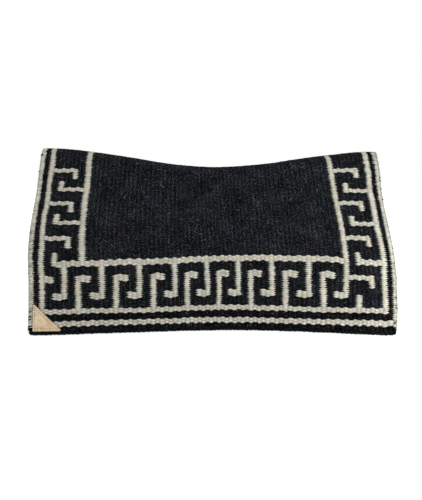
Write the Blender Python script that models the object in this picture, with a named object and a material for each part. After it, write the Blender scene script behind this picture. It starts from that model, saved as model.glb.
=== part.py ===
"""Western saddle pad: two wool halves sewn along a curved spine, standing as an arch.

Metres, +Z up. The spine runs along X, with the withers end at -X. The near side faces -Y.
Each layer is drawn flat, as it is woven or cut. It is creased across the drop and down the
length, and then bent over the arch, so that neighbours keep one even gap between them.
"""
import math

import bmesh
import bpy

for thing in list(bpy.data.objects):
    bpy.data.objects.remove(thing, do_unlink=True)

# Overall size
PAD_LENGTH = 0.864
MIDDLE_DROP = 0.457
FRONT_RISE = 0.063
REAR_RISE = 0.050

# Arch, from the hem up: a steep flap, a bend, a straight roof and a round ridge
FLAP_ANGLE = math.radians(81)
ROOF_ANGLE = math.radians(47)
BEND_START = 0.115
BEND_LENGTH = 0.155
RIDGE_RADIUS = 0.055
BEND_STEPS = 5
RIDGE_STEPS = 4
LENGTH_STEPS = 10

# Layers
WEAVE_THICKNESS = 0.007
FELT_THICKNESS = 0.012
CLEARANCE = 0.0003
LACING_WIDTH = 0.008
TAPE_WIDTH = 0.038
TAPE_THICKNESS = 0.002
SELVEDGE_WIDTH = 0.004
HEM_CORD_HEIGHT = 0.0085
HEM_CORD_BULGE = 0.0015
HEM_CORD_LIFT = 0.0006
CORD_SIDES = 10

# Weave: ribs run down the drop, picks are counted up from the hem
RIB_COUNT = 83
PICK_PITCH = 0.0024
FRONT_BAND_WIDTH = 0.006
FRONT_GUARD_WIDTH = 0.019
REAR_GUARD_WIDTH = 0.012
REAR_BAND_WIDTH = 0.004
DRAW_IN_SHARE = 0.115
DRAW_IN_PLACE_SHARE = 0.505
DRAW_IN_REACH_SHARE = 0.19

# Pattern places across the ribs, counted from the front edge
BAND_RIBS = 1
OUTER_LINE_RIB = 2
INNER_LINE_RIB = 11
KEY_REPEAT_RIBS = 8
FIRST_DROPPED_RIB = 7
DROPPED_BARS = 8
FIRST_RAISED_RIB = 10
RAISED_BARS = 8
HOOK_RIBS = 3
ARM_RIBS = 6
STUB_RIBS = 2
REAR_STUB_RIB = 74

# Pattern rows, counted in picks from the hem
STRIPE_PICKS = (8, 12)
LOWER_LINE_PICKS = (20, 24)
DROPPED_HOOK_PICKS = (34, 40)
RAISED_HOOK_PICKS = (52, 58)
UPPER_LINE_PICKS = (68, 72)
REAR_STUB_TOP_PICK = 37
ARM_HALF_PICKS = 2
ARM_HOOK_PICKS = 8
ARM_REPEAT_PICKS = 42
FRONT_OUTER_PICK = 96
FRONT_INNER_PICK = 114
REAR_INNER_PICK = 54
REAR_OUTER_PICK = 70
PLAIN_TOP = 0.055

# Corner patch, on the near side at the front end of the hem
PATCH_WIDTH = 0.067
PATCH_HEIGHT = 0.062
PATCH_THICKNESS = 0.0025
PATCH_EDGE_INSET = 0.009
PATCH_HEM_MARGIN = 0.0005
PATCH_CORNER_RADIUS = 0.0025
PATCH_CORNER_STEPS = 3

FULL_THICKNESS = WEAVE_THICKNESS + CLEARANCE + FELT_THICKNESS
HALF_LENGTH = PAD_LENGTH / 2
HEM_CORD_TOP = HEM_CORD_LIFT + HEM_CORD_HEIGHT
WELD_DISTANCE = CLEARANCE / 100


def material(name, colour, roughness):
    """One dyed wool, felt or leather, as a plain dielectric."""
    made = bpy.data.materials.new(name)
    made.use_nodes = True
    shader = made.node_tree.nodes["Principled BSDF"]
    shader.inputs["Base Color"].default_value = (*colour, 1)
    shader.inputs["Roughness"].default_value = roughness
    shader.inputs["Metallic"].default_value = 0
    return made


BLACK_WOOL = material("black_wool", (0.012, 0.013, 0.016), 0.9)
PALE_WOOL = material("pale_wool", (0.40, 0.385, 0.32), 0.9)
CHARCOAL_FELT = material("charcoal_felt", (0.05, 0.05, 0.052), 0.95)
SEAM_CLOTH = material("seam_cloth", (0.02, 0.02, 0.022), 0.8)
TAN_LEATHER = material("tan_leather", (0.57, 0.43, 0.27), 0.6)


# Shape of the arch

def half_drop(x):
    """Hem to spine at one place along the length, on the spine's smooth curve."""
    rise = FRONT_RISE if x < 0 else REAR_RISE
    return MIDDLE_DROP + rise * (1 - math.cos(math.pi * abs(x) / HALF_LENGTH)) / 2


STATIONS = [-HALF_LENGTH + PAD_LENGTH * i / LENGTH_STEPS for i in range(LENGTH_STEPS + 1)]
STATION_DROPS = [half_drop(x) for x in STATIONS]


def drop_at(x):
    """Half drop read straight between two stations, as the creased layers have it."""
    place = (x + HALF_LENGTH) / PAD_LENGTH * LENGTH_STEPS
    i = min(max(int(place), 0), LENGTH_STEPS - 1)
    share = place - i
    return STATION_DROPS[i] * (1 - share) + STATION_DROPS[i + 1] * share


BEND_ANGLES = [
    FLAP_ANGLE + (ROOF_ANGLE - FLAP_ANGLE) * (i + 0.5) / BEND_STEPS for i in range(BEND_STEPS)
]
RIDGE_ANGLES = [ROOF_ANGLE * (1 - (i + 0.5) / RIDGE_STEPS) for i in range(RIDGE_STEPS)]
BEND_STEP = BEND_LENGTH / BEND_STEPS
RIDGE_STEP = RIDGE_RADIUS * ROOF_ANGLE / RIDGE_STEPS
RIDGE_ARC = RIDGE_STEP * RIDGE_STEPS
SEGMENT_ANGLES = [FLAP_ANGLE] + BEND_ANGLES + [ROOF_ANGLE] + RIDGE_ANGLES
HEM_CREASES = [BEND_START + BEND_STEP * i for i in range(BEND_STEPS + 1)]
SPINE_CREASES = [RIDGE_ARC - RIDGE_STEP * i for i in range(RIDGE_STEPS)]


def section(drop):
    """Nodes of the cross-section: distance from the hem, place, and the way in through it."""
    roof = drop - BEND_START - BEND_LENGTH - RIDGE_ARC
    lengths = [BEND_START] + [BEND_STEP] * BEND_STEPS + [roof] + [RIDGE_STEP] * RIDGE_STEPS
    rows = [(0, 0, 0)]
    for length, angle in zip(lengths, SEGMENT_ANGLES):
        v, y, z = rows[-1]
        rows.append((v + length, y + length * math.cos(angle), z + length * math.sin(angle)))
    span = rows[-1][1]
    inward = [(1 / math.sin(FLAP_ANGLE), 0)]
    for below, above in zip(SEGMENT_ANGLES, SEGMENT_ANGLES[1:]):
        middle = (below + above) / 2
        stretch = math.cos((below - above) / 2)
        inward.append((math.sin(middle) / stretch, -math.cos(middle) / stretch))
    inward.append((0, -1 / math.cos(SEGMENT_ANGLES[-1])))
    return [(v, y - span, z, a, b) for (v, y, z), (a, b) in zip(rows, inward)]


def on_side(x, v, height):
    """Flat layout to the near side: v up from the hem, height out from the woven face."""
    rows = section(drop_at(x))
    low, high = rows[-2], rows[-1]
    for below, above in zip(rows, rows[1:]):
        if v <= above[0]:
            low, high = below, above
            break
    share = (v - low[0]) / (high[0] - low[0])
    y, z, a, b = [p * (1 - share) + q * share for p, q in zip(low[1:], high[1:])]
    return x, y - height * a, z - height * b


def over_spine(x, across, height):
    """Flat layout to a piece that crosses the spine: across is measured from the spine."""
    x, y, z = on_side(x, drop_at(x) - abs(across), height)
    return x, y if across <= 0 else -y, z


# Flat layout to solid

def crease(bm, place, normal, faces):
    """Cut the flat layout along one line, so that it can bend there."""
    parts = set(faces)
    for face in faces:
        parts.update(face.edges)
        parts.update(face.verts)
    bmesh.ops.bisect_plane(
        bm, geom=list(parts), dist=WELD_DISTANCE, plane_co=place, plane_no=normal
    )


def crease_side(bm):
    """Creases of one side: stations, the bend above the hem, and the ridge along the spine."""
    for x in STATIONS[1:-1]:
        crease(bm, (x, 0, 0), (1, 0, 0), bm.faces[:])
    for v in HEM_CREASES:
        crease(bm, (0, v, 0), (0, 1, 0), bm.faces[:])
    for i in range(LENGTH_STEPS):
        left, right = STATIONS[i], STATIONS[i + 1]
        for back in SPINE_CREASES:
            strip = [f for f in bm.faces if left < f.calc_center_median().x < right]
            slope = (STATION_DROPS[i + 1] - STATION_DROPS[i]) / (right - left)
            crease(bm, (left, STATION_DROPS[i] - back, 0), (-slope, 1, 0), strip)


def crease_crossing(bm):
    """Creases of a piece that crosses the spine."""
    for x in STATIONS[1:-1]:
        crease(bm, (x, 0, 0), (1, 0, 0), bm.faces[:])
    for back in [0] + SPINE_CREASES:
        for across in {-back, back}:
            crease(bm, (0, across, 0), (0, 1, 0), bm.faces[:])


def add_object(name, bm, made_of):
    """A finished solid as one named object, with its faces pointing out."""
    bmesh.ops.recalc_face_normals(bm, faces=bm.faces[:])
    if bm.calc_volume(signed=True) < 0:
        bmesh.ops.reverse_faces(bm, faces=bm.faces[:])
    mesh = bpy.data.meshes.new(name)
    bm.to_mesh(mesh)
    mesh.materials.append(made_of)
    thing = bpy.data.objects.new(name, mesh)
    bpy.context.scene.collection.objects.link(thing)
    return thing


def extrude_outline(points, away):
    """A closed prism: one face on the given points, pushed along a vector."""
    bm = bmesh.new()
    face = bm.faces.new([bm.verts.new(p) for p in points])
    grown = bmesh.ops.extrude_face_region(bm, geom=[face])["geom"]
    moved = [v for v in grown if isinstance(v, bmesh.types.BMVert)]
    bmesh.ops.translate(bm, verts=moved, vec=away)
    return bm


def bend(bm, placed):
    for vert in bm.verts:
        vert.co = placed(*vert.co)


def add_pair(name, bm, made_of):
    """Bend a flat solid over the near side, and its mirror image over the off side."""
    crease_side(bm)
    bend(bm, on_side)
    add_object("near_" + name, bm, made_of)
    for vert in bm.verts:
        vert.co.y = -vert.co.y
    add_object("off_" + name, bm, made_of)
    bm.free()


def inset(outline, gap):
    """Draw a counter-clockwise outline in by a gap all round."""
    drawn = []
    for i, here in enumerate(outline):
        before, after = outline[i - 1], outline[(i + 1) % len(outline)]
        normals = []
        for start, end in ((before, here), (here, after)):
            run, rise = end[0] - start[0], end[1] - start[1]
            size = math.hypot(run, rise)
            normals.append((-rise / size, run / size))
        (ax, ay), (bx, by) = normals
        reach = gap / (1 + ax * bx + ay * by)
        drawn.append((here[0] + (ax + bx) * reach, here[1] + (ay + by) * reach))
    return drawn


def layer(outline, top, bottom):
    """A flat layer between two heights, drawn in by half the clearance."""
    drawn = inset(outline, CLEARANCE / 2)
    return extrude_outline([(x, v, top) for x, v in drawn], (0, 0, bottom - top))


# Woven halves, colour by colour

WOVEN_HALF = HALF_LENGTH - SELVEDGE_WIDTH


def drawn_in(rib):
    """A rib's count from the front, with the ribs pulled towards mid length."""
    away = (rib - DRAW_IN_PLACE_SHARE * RIB_COUNT) / (DRAW_IN_REACH_SHARE * RIB_COUNT)
    return rib - DRAW_IN_SHARE * DRAW_IN_REACH_SHARE * RIB_COUNT * away * math.exp(-away ** 2)


def rib_x(rib):
    """Place of a rib's edge along the length. The band and the guard stripe have their own widths."""
    first, last = OUTER_LINE_RIB, RIB_COUNT - OUTER_LINE_RIB
    if rib <= BAND_RIBS:
        return -WOVEN_HALF + FRONT_BAND_WIDTH * rib / BAND_RIBS
    if rib >= RIB_COUNT - BAND_RIBS:
        return WOVEN_HALF - REAR_BAND_WIDTH * (RIB_COUNT - rib) / BAND_RIBS
    front = -WOVEN_HALF + FRONT_BAND_WIDTH + FRONT_GUARD_WIDTH
    rear = WOVEN_HALF - REAR_BAND_WIDTH - REAR_GUARD_WIDTH
    share = (drawn_in(rib) - drawn_in(first)) / (drawn_in(last) - drawn_in(first))
    return front + (rear - front) * share


def at(rib, pick):
    return rib_x(rib), pick * PICK_PITCH


def spine_edge(first_rib, last_rib):
    """Points along the woven half's top edge, with one at each station between."""
    ends = [rib_x(first_rib), rib_x(last_rib)]
    places = [x for x in STATIONS if min(ends) < x < max(ends)]
    places = ends[:1] + (places if ends[0] < ends[1] else places[::-1]) + ends[1:]
    return [(x, drop_at(x) - LACING_WIDTH / 2) for x in places]


def arm_picks(first, rib):
    """Rows of the arms up one border, ending below the plain black at the spine."""
    top = drop_at(rib_x(rib)) - PLAIN_TOP
    rows = []
    pick = first
    while (pick + ARM_HALF_PICKS) * PICK_PITCH < top:
        rows.append(pick)
        pick += ARM_REPEAT_PICKS
    return rows


def arm(base, towards, pick, hook):
    """Six points round one hooked arm, from below it to above it.

    towards is 1 or -1 along the ribs, and hook is 1 for a tip turned up, -1 for one turned down.
    """
    low, high = pick - ARM_HALF_PICKS, pick + ARM_HALF_PICKS
    tip = base + towards * ARM_RIBS
    inner = tip - towards
    if hook > 0:
        places = [(base, low), (tip, low), (tip, high + ARM_HOOK_PICKS)]
        places += [(inner, high + ARM_HOOK_PICKS), (inner, high), (base, high)]
    else:
        places = [(base, low), (inner, low), (inner, low - ARM_HOOK_PICKS)]
        places += [(tip, low - ARM_HOOK_PICKS), (tip, high), (base, high)]
    return [at(*place) for place in places]


FRONT_OUTER = OUTER_LINE_RIB + 1
FRONT_INNER = INNER_LINE_RIB
REAR_OUTER = RIB_COUNT - OUTER_LINE_RIB - 1
REAR_INNER = RIB_COUNT - INNER_LINE_RIB


def outer_key_edge():
    """Inner edge of the outer key, from the rear end of the spine round to the front end."""
    path = spine_edge(REAR_OUTER, REAR_OUTER)[:1]
    for pick in reversed(arm_picks(REAR_OUTER_PICK, REAR_OUTER)):
        path += reversed(arm(REAR_OUTER, -1, pick, 1))
    floor = LOWER_LINE_PICKS[1]
    path.append(at(REAR_OUTER, floor))
    for rib, pick in ((REAR_STUB_RIB + 1, floor), (REAR_STUB_RIB + 1, REAR_STUB_TOP_PICK),
                      (REAR_STUB_RIB, REAR_STUB_TOP_PICK), (REAR_STUB_RIB, floor)):
        path.append(at(rib, pick))
    low, high = RAISED_HOOK_PICKS
    for i in reversed(range(RAISED_BARS)):
        bar = FIRST_RAISED_RIB + KEY_REPEAT_RIBS * i
        path += [at(bar + 1, floor), at(bar + 1, low), at(bar + HOOK_RIBS, low)]
        path += [at(bar + HOOK_RIBS, high), at(bar, high), at(bar, floor)]
    path += [at(FRONT_OUTER, floor), at(FRONT_OUTER, low), at(FRONT_OUTER + STUB_RIBS, low)]
    path += [at(FRONT_OUTER + STUB_RIBS, high), at(FRONT_OUTER, high)]
    for pick in arm_picks(FRONT_OUTER_PICK, FRONT_OUTER):
        path += arm(FRONT_OUTER, 1, pick, -1)
    return path + spine_edge(FRONT_OUTER, FRONT_OUTER)[:1]


def inner_key_edge():
    """Outer edge of the inner key, from the front end of the spine round to the rear end."""
    path = spine_edge(FRONT_INNER, FRONT_INNER)[:1]
    for pick in reversed(arm_picks(FRONT_INNER_PICK, FRONT_INNER)):
        path += reversed(arm(FRONT_INNER, -1, pick, 1))
    ceiling, line_top = UPPER_LINE_PICKS
    tip = FRONT_INNER - ARM_RIBS
    hook_top = line_top + ARM_HOOK_PICKS
    path += [at(FRONT_INNER, line_top), at(tip + 1, line_top), at(tip + 1, hook_top)]
    path += [at(tip, hook_top), at(tip, ceiling)]
    low, high = DROPPED_HOOK_PICKS
    for i in range(DROPPED_BARS):
        bar = FIRST_DROPPED_RIB + KEY_REPEAT_RIBS * i
        path += [at(bar, ceiling), at(bar, high), at(bar + 1 - HOOK_RIBS, high)]
        path += [at(bar + 1 - HOOK_RIBS, low), at(bar + 1, low), at(bar + 1, ceiling)]
    last = REAR_INNER - 1
    path += [at(last, ceiling), at(last, high), at(last + 1 - HOOK_RIBS, high)]
    path += [at(last + 1 - HOOK_RIBS, low), at(REAR_INNER, low)]
    for pick in arm_picks(REAR_INNER_PICK, REAR_INNER):
        path += arm(REAR_INNER, 1, pick, -1)
    return path + spine_edge(REAR_INNER, REAR_INNER)[:1]


def frame_outline(rib_in, pick_in, rib_out, pick_out):
    """A border that runs down the front end, along the hem side and up the rear end."""
    path = spine_edge(rib_in, rib_out)
    path += [at(rib_out, pick_out), at(RIB_COUNT - rib_out, pick_out)]
    path += spine_edge(RIB_COUNT - rib_out, RIB_COUNT - rib_in)
    return path + [at(RIB_COUNT - rib_in, pick_in), at(rib_in, pick_in)]


def outer_key_outline():
    path = [at(OUTER_LINE_RIB, LOWER_LINE_PICKS[0]), at(REAR_OUTER + 1, LOWER_LINE_PICKS[0])]
    path += spine_edge(REAR_OUTER + 1, REAR_OUTER)[:1] + outer_key_edge()
    return path + spine_edge(OUTER_LINE_RIB, FRONT_OUTER)[:1]


def inner_key_outline():
    path = inner_key_edge()
    path += spine_edge(REAR_INNER - 1, REAR_INNER)[:1]
    path += [at(REAR_INNER - 1, UPPER_LINE_PICKS[1]), at(FRONT_INNER + 1, UPPER_LINE_PICKS[1])]
    return path + spine_edge(FRONT_INNER + 1, FRONT_INNER)[:1]


def meander_outline():
    """The black path left between the two pale keys."""
    return outer_key_edge()[::-1] + inner_key_edge()[::-1]


def field_outline():
    path = [at(FRONT_INNER + 1, UPPER_LINE_PICKS[1]), at(REAR_INNER - 1, UPPER_LINE_PICKS[1])]
    return path + spine_edge(REAR_INNER - 1, FRONT_INNER + 1)


def hem_band_outline():
    low = HEM_CORD_TOP + CLEARANCE / 2
    high = STRIPE_PICKS[0] * PICK_PITCH
    front, rear = rib_x(0), rib_x(RIB_COUNT)
    return [(front, low), (rear, low), (rear, high), (front, high)]


def add_weave():
    guard = BAND_RIBS + 1
    areas = (
        ("field_weave", field_outline(), BLACK_WOOL),
        ("inner_key_weave", inner_key_outline(), PALE_WOOL),
        ("meander_weave", meander_outline(), BLACK_WOOL),
        ("outer_key_weave", outer_key_outline(), PALE_WOOL),
        ("guard_stripe_weave", frame_outline(guard, LOWER_LINE_PICKS[0], BAND_RIBS, STRIPE_PICKS[1]),
         BLACK_WOOL),
        ("edge_band_weave", frame_outline(BAND_RIBS, STRIPE_PICKS[1], 0, STRIPE_PICKS[0]), PALE_WOOL),
        ("hem_band_weave", hem_band_outline(), BLACK_WOOL),
    )
    for name, outline, made_of in areas:
        add_pair(name, layer(outline, 0, -WEAVE_THICKNESS), made_of)


# Felt underlay, one piece a side

def add_felt():
    top = -WEAVE_THICKNESS - CLEARANCE
    spine = [(x, drop_at(x)) for x in reversed(STATIONS)]
    outline = [(-HALF_LENGTH, 0), (HALF_LENGTH, 0)] + spine
    drawn = [(x, v if v == 0 else v - CLEARANCE) for x, v in outline]
    felt = extrude_outline([(x, v, top) for x, v in drawn], (0, 0, -FELT_THICKNESS))
    add_pair("felt_underlay", felt, CHARCOAL_FELT)


# Cords round the woven halves

def oval(width, low, high):
    """Points round a flattened cord: across its width, and from low to high through the layer."""
    middle, half = (low + high) / 2, (high - low) / 2
    turns = [math.tau * i / CORD_SIDES for i in range(CORD_SIDES)]
    return [(width / 2 * math.cos(t), middle + half * math.sin(t)) for t in turns]


def add_selvedge_cords():
    """The twisted cord along each open end of a half, from the hem cord to the spine."""
    centre = HALF_LENGTH - SELVEDGE_WIDTH / 2
    start = HEM_CORD_LIFT
    for name, x in (("front_selvedge_cord", -centre), ("rear_selvedge_cord", centre)):
        top = drop_at(x) - LACING_WIDTH / 2 - CLEARANCE
        points = oval(SELVEDGE_WIDTH - CLEARANCE, -WEAVE_THICKNESS, 0)
        cord = extrude_outline([(x + a, start, h) for a, h in points], (0, top - start, 0))
        add_pair(name, cord, PALE_WOOL)


def add_hem_cord():
    """The round black edge that closes the hem between the two selvedge cords."""
    centre = HEM_CORD_LIFT + HEM_CORD_HEIGHT / 2
    reach = WOVEN_HALF - CLEARANCE / 2
    points = oval(HEM_CORD_HEIGHT, -WEAVE_THICKNESS, HEM_CORD_BULGE)
    cord = extrude_outline([(-reach, centre + a, h) for a, h in points], (2 * reach, 0, 0))
    add_pair("hem_cord", cord, BLACK_WOOL)


# Spine seam

def add_crossing(name, bm, made_of):
    crease_crossing(bm)
    bend(bm, over_spine)
    add_object(name, bm, made_of)
    bm.free()


def add_spine_lacing():
    """Whipped yarn that fills the slot between the woven halves."""
    points = oval(LACING_WIDTH - 2 * CLEARANCE, -WEAVE_THICKNESS, 0)
    yarn = extrude_outline([(-HALF_LENGTH, a, h) for a, h in points], (PAD_LENGTH, 0, 0))
    add_crossing("spine_lacing_yarn", yarn, BLACK_WOOL)


def add_seam_tape():
    """Cloth tape under the butted edges of the felt."""
    top = -FULL_THICKNESS - CLEARANCE
    half = TAPE_WIDTH / 2
    corners = [(-HALF_LENGTH, -half), (HALF_LENGTH, -half), (HALF_LENGTH, half), (-HALF_LENGTH, half)]
    tape = extrude_outline([(x, a, top) for x, a in corners], (0, 0, -TAPE_THICKNESS))
    add_crossing("spine_seam_tape", tape, SEAM_CLOTH)


# Leather corner patch

def rounded(corners, radius, steps):
    """A counter-clockwise outline with an arc at each corner."""
    points = []
    for i, (x, y) in enumerate(corners):
        before, after = corners[i - 1], corners[(i + 1) % len(corners)]
        into = math.atan2(y - before[1], x - before[0])
        out = math.atan2(after[1] - y, after[0] - x)
        turn = (out - into) % math.tau
        back = radius * math.tan(turn / 2)
        cx = x - back * math.cos(into) - radius * math.sin(into)
        cy = y - back * math.sin(into) + radius * math.cos(into)
        for k in range(steps + 1):
            angle = into - math.pi / 2 + turn * k / steps
            points.append((cx + radius * math.cos(angle), cy + radius * math.sin(angle)))
    return points


def add_corner_patch():
    """A right-angled triangle of leather sewn flat on the near flap."""
    left = -HALF_LENGTH + PATCH_EDGE_INSET
    low = HEM_CORD_TOP + PATCH_HEM_MARGIN
    corners = [(left, low), (left + PATCH_WIDTH, low), (left, low + PATCH_HEIGHT)]
    outline = rounded(corners, PATCH_CORNER_RADIUS, PATCH_CORNER_STEPS)
    top = CLEARANCE + PATCH_THICKNESS
    patch = extrude_outline([(x, v, top) for x, v in outline], (0, 0, -PATCH_THICKNESS))
    crease_side(patch)
    bend(patch, on_side)
    add_object("corner_patch", patch, TAN_LEATHER)
    patch.free()


add_felt()
add_weave()
add_selvedge_cords()
add_hem_cord()
add_spine_lacing()
add_seam_tape()
add_corner_patch()
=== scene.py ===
"""Western saddle pad: a hand-woven wool cover on a felt underlay, standing as an arch on its hems.

Metres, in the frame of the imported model: the spine runs along X with the withers end at -X, the
near side faces -Y, and Z is up. Cloth is laid out flat, as it is woven, and bent over the arch.
"""

import math

import bpy
import numpy as np
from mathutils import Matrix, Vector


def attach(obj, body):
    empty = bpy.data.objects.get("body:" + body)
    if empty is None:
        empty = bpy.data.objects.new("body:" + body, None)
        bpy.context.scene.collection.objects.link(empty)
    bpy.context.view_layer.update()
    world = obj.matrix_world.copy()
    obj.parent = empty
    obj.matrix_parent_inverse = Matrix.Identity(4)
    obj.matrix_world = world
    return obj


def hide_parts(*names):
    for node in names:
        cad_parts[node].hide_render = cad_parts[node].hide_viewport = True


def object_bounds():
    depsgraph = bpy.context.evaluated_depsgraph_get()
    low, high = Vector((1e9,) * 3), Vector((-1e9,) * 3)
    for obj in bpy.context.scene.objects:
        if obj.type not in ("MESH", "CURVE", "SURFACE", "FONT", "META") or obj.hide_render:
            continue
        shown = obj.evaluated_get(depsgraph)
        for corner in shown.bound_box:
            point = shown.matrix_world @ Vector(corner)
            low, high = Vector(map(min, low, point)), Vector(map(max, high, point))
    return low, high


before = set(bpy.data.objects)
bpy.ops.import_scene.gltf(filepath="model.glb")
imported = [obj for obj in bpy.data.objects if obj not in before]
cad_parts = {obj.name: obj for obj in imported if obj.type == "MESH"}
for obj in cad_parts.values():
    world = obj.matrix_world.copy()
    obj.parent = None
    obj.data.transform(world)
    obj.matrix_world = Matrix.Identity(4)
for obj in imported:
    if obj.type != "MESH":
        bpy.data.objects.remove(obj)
cad_low, cad_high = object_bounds()


# Studio
# A camera before the near side, a little above it and tilted down, soft daylight from all round,
# one large lamp on the right, weaker ones on the left, overhead and behind, and a white floor.

CAMERA_PLACE = (-0.003, -2.033, 0.514)
CAMERA_TILT = math.radians(9.96)
CAMERA_LENS = 56.3
CAMERA_SENSOR = 36
SKY_STRENGTH = 0.54
FLOOR_REACH = 14
FLOOR_GREY = 0.9
FLOOR_GLOW = 0.51
# Each lamp's place, its size, and its power in watts
LAMPS = {"key_lamp": ((1.0, -0.75, 0.3), 0.7, 9.3), "fill_lamp": ((-1.3, -0.9, 0.4), 0.8, 2.8),
         "top_lamp": ((0.2, -0.9, 2.6), 1.6, 15), "back_lamp": ((-0.6, 2.6, 2.2), 2.0, 40)}


def in_scene(name, data):
    """A new object in the scene, for a mesh, a lamp or a camera."""
    made = bpy.data.objects.new(name, data)
    bpy.context.scene.collection.objects.link(made)
    return made


def set_camera():
    camera = in_scene("camera", bpy.data.cameras.new("camera"))
    camera.data.lens = CAMERA_LENS
    camera.data.sensor_width = CAMERA_SENSOR
    camera.location = CAMERA_PLACE
    camera.rotation_euler = (math.radians(90) - CAMERA_TILT, 0, 0)
    bpy.context.scene.camera = camera
    bpy.context.scene.view_settings.view_transform = "Standard"


def node_maker(owner):
    """A short way to add nodes to a material or a world: it sets their values, links their inputs and
    gives back one output."""
    owner.use_nodes = True
    tree = owner.node_tree

    def add(kind, inputs=None, output=0, **values):
        node = tree.nodes.new("ShaderNode" + kind)
        for name, value in values.items():
            setattr(node, name, value)
        for name, value in (inputs or {}).items():
            if isinstance(value, bpy.types.NodeSocket):
                tree.links.new(value, node.inputs[name])
            else:
                node.inputs[name].default_value = value
        return node.outputs[output] if node.outputs else None
    return add


def seen_directly(add):
    """1 where the camera sees a surface itself, or in a mirror or through glass."""
    seen = 0.0
    for ray in ("Is Camera Ray", "Is Glossy Ray", "Is Transmission Ray"):
        seen = add("Math", {0: seen, 1: add("LightPath", output=ray)}, operation="MAXIMUM")
    return seen


def light_sky():
    """A white sky all round, which lights the pad less than it shows."""
    world = bpy.data.worlds.new("studio")
    bpy.context.scene.world = world
    add = node_maker(world)
    world.node_tree.nodes.clear()
    strength = add("MapRange", {"Value": seen_directly(add), "To Min": SKY_STRENGTH, "To Max": 1})
    sky = add("Background", {"Color": (1, 1, 1, 1), "Strength": strength})
    add("OutputWorld", {"Surface": sky})


def add_lamp(name, place, size, power):
    """A round lamp that faces the middle of the pad."""
    lamp = in_scene(name, bpy.data.lights.new(name, "AREA"))
    lamp.data.shape = "DISK"
    lamp.data.size = size
    lamp.data.energy = power
    lamp.location = place
    away = lamp.location - (cad_low + cad_high) / 2
    lamp.rotation_euler = away.to_track_quat("Z", "Y").to_euler()


def add_floor():
    """White floor: it takes the pad's shadow, and a little glow lifts it to white for the camera."""
    mesh = bpy.data.meshes.new("floor")
    corners = [(FLOOR_REACH * x, FLOOR_REACH * y, 0) for x, y in ((-1, -1), (1, -1), (1, 1), (-1, 1))]
    mesh.from_pydata(corners, [], [(0, 1, 2, 3)])
    floor = in_scene("floor", mesh)
    paint = bpy.data.materials.new("white_floor")
    add = node_maker(paint)
    paint.node_tree.nodes.clear()
    matt = add("BsdfDiffuse", {"Color": (FLOOR_GREY, FLOOR_GREY, FLOOR_GREY, 1)})
    strength = add("MapRange", {"Value": seen_directly(add), "To Min": 0, "To Max": FLOOR_GLOW})
    glow = add("Emission", {"Color": (1, 1, 1, 1), "Strength": strength})
    add("OutputMaterial", {"Surface": add("AddShader", {0: matt, 1: glow})})
    mesh.materials.append(paint)


set_camera()
light_sky()
for name, lamp in LAMPS.items():
    add_lamp(name, *lamp)
add_floor()


# Felt underlay
# Two halves of thick pressed wool felt under the woven cover, butted along the spine. They give
# the pad its arch: a steep flap, a bend, a straight roof and a round ridge. Each half is laid out
# flat, with rounded cut edges, and bent.

HALF_LENGTH = (cad_high.x - cad_low.x) / 2
MIDDLE_DROP = 0.457
FRONT_RISE = 0.063
REAR_RISE = 0.050
FLAP_ANGLE = math.radians(81)
ROOF_ANGLE = math.radians(47)
BEND_START = 0.115
BEND_LENGTH = 0.155
RIDGE_RADIUS = 0.055

# How far the cloth leans towards the withers as it lies: places along it, heights up it, metres
LEAN_PLACES = (-0.432, -0.38, -0.315, 0.31, 0.37, 0.425, 0.432)
LEAN_HEIGHTS = (0.01, 0.06, 0.13, 0.19, 0.25, 0.31, 0.37, 0.43, 0.48)
LEAN = ((0, -0.001, -0.001, 0.003, 0.004, 0.003, 0.0015, 0.003, 0.003),
        (0, 0.001, 0.001, 0.005, 0.007, 0.007, 0.006, 0.005, 0.005),
        (0, 0, 0, 0.004, 0.008, 0.008, 0.008, 0.007, 0.007),
        (0, 0, 0.001, 0.001, 0.005, 0.009, 0.014, 0.018, 0.022),
        (0, 0, 0.001, 0.002, 0.008, 0.012, 0.015, 0.016, 0.020),
        (-0.0005, -0.003, -0.001, 0.003, 0.009, 0.012, 0.014, 0.012, 0.015),
        (-0.0018, -0.006, -0.0038, 0.0004, 0.0055, 0.010, 0.0115, 0.0082, 0.0082))

# How far the arch stands up proud along its ridge, which fades out down the roof
RIDGE_PLACES = (-0.44, -0.39, -0.29, -0.185, -0.13, -0.05, 0.02, 0.13, 0.18, 0.23, 0.335, 0.39)
RIDGE_LIFT = (0.0055, 0.0063, 0.0065, 0.0082, 0.0072, 0.0056, 0.0034, 0.0022, 0.0014, 0.0026, 0.0034,
              0.0064)
RIDGE_FADE = 0.12

# How far the foot of the cloth stands out along the hem, which fades out up to this height
FOOT_PLACES = (-0.432, -0.36, -0.27, -0.21, -0.12, -0.03, 0.07, 0.20, 0.30, 0.36, 0.432)
FOOT_OUT = (0.005, 0.003, 0.001, 0.004, 0.007, 0.005, 0, -0.002, 0.002, 0.009, 0.015)
FOOT_HEIGHT = 0.075

WEAVE_THICKNESS = 0.007
FELT_THICKNESS = 0.012
CLEARANCE = 0.0003
FELT_EDGE_RADIUS = 0.003
FELT_STEP = 0.008
FELT_CORNER = 0.012
ROUND_EDGE_POINTS = 4
# An unevenness is named by its wavelength and its size
FELT_UNDERSIDE_UNEVEN = (0.021, 0.00012)
UNEVEN_WAVES = 7


def half_drop(x):
    """Hem to spine at places along the length."""
    rise = np.where(x < 0, FRONT_RISE, REAR_RISE)
    return MIDDLE_DROP + rise * (1 - np.cos(np.pi * np.abs(x) / HALF_LENGTH)) / 2


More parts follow.
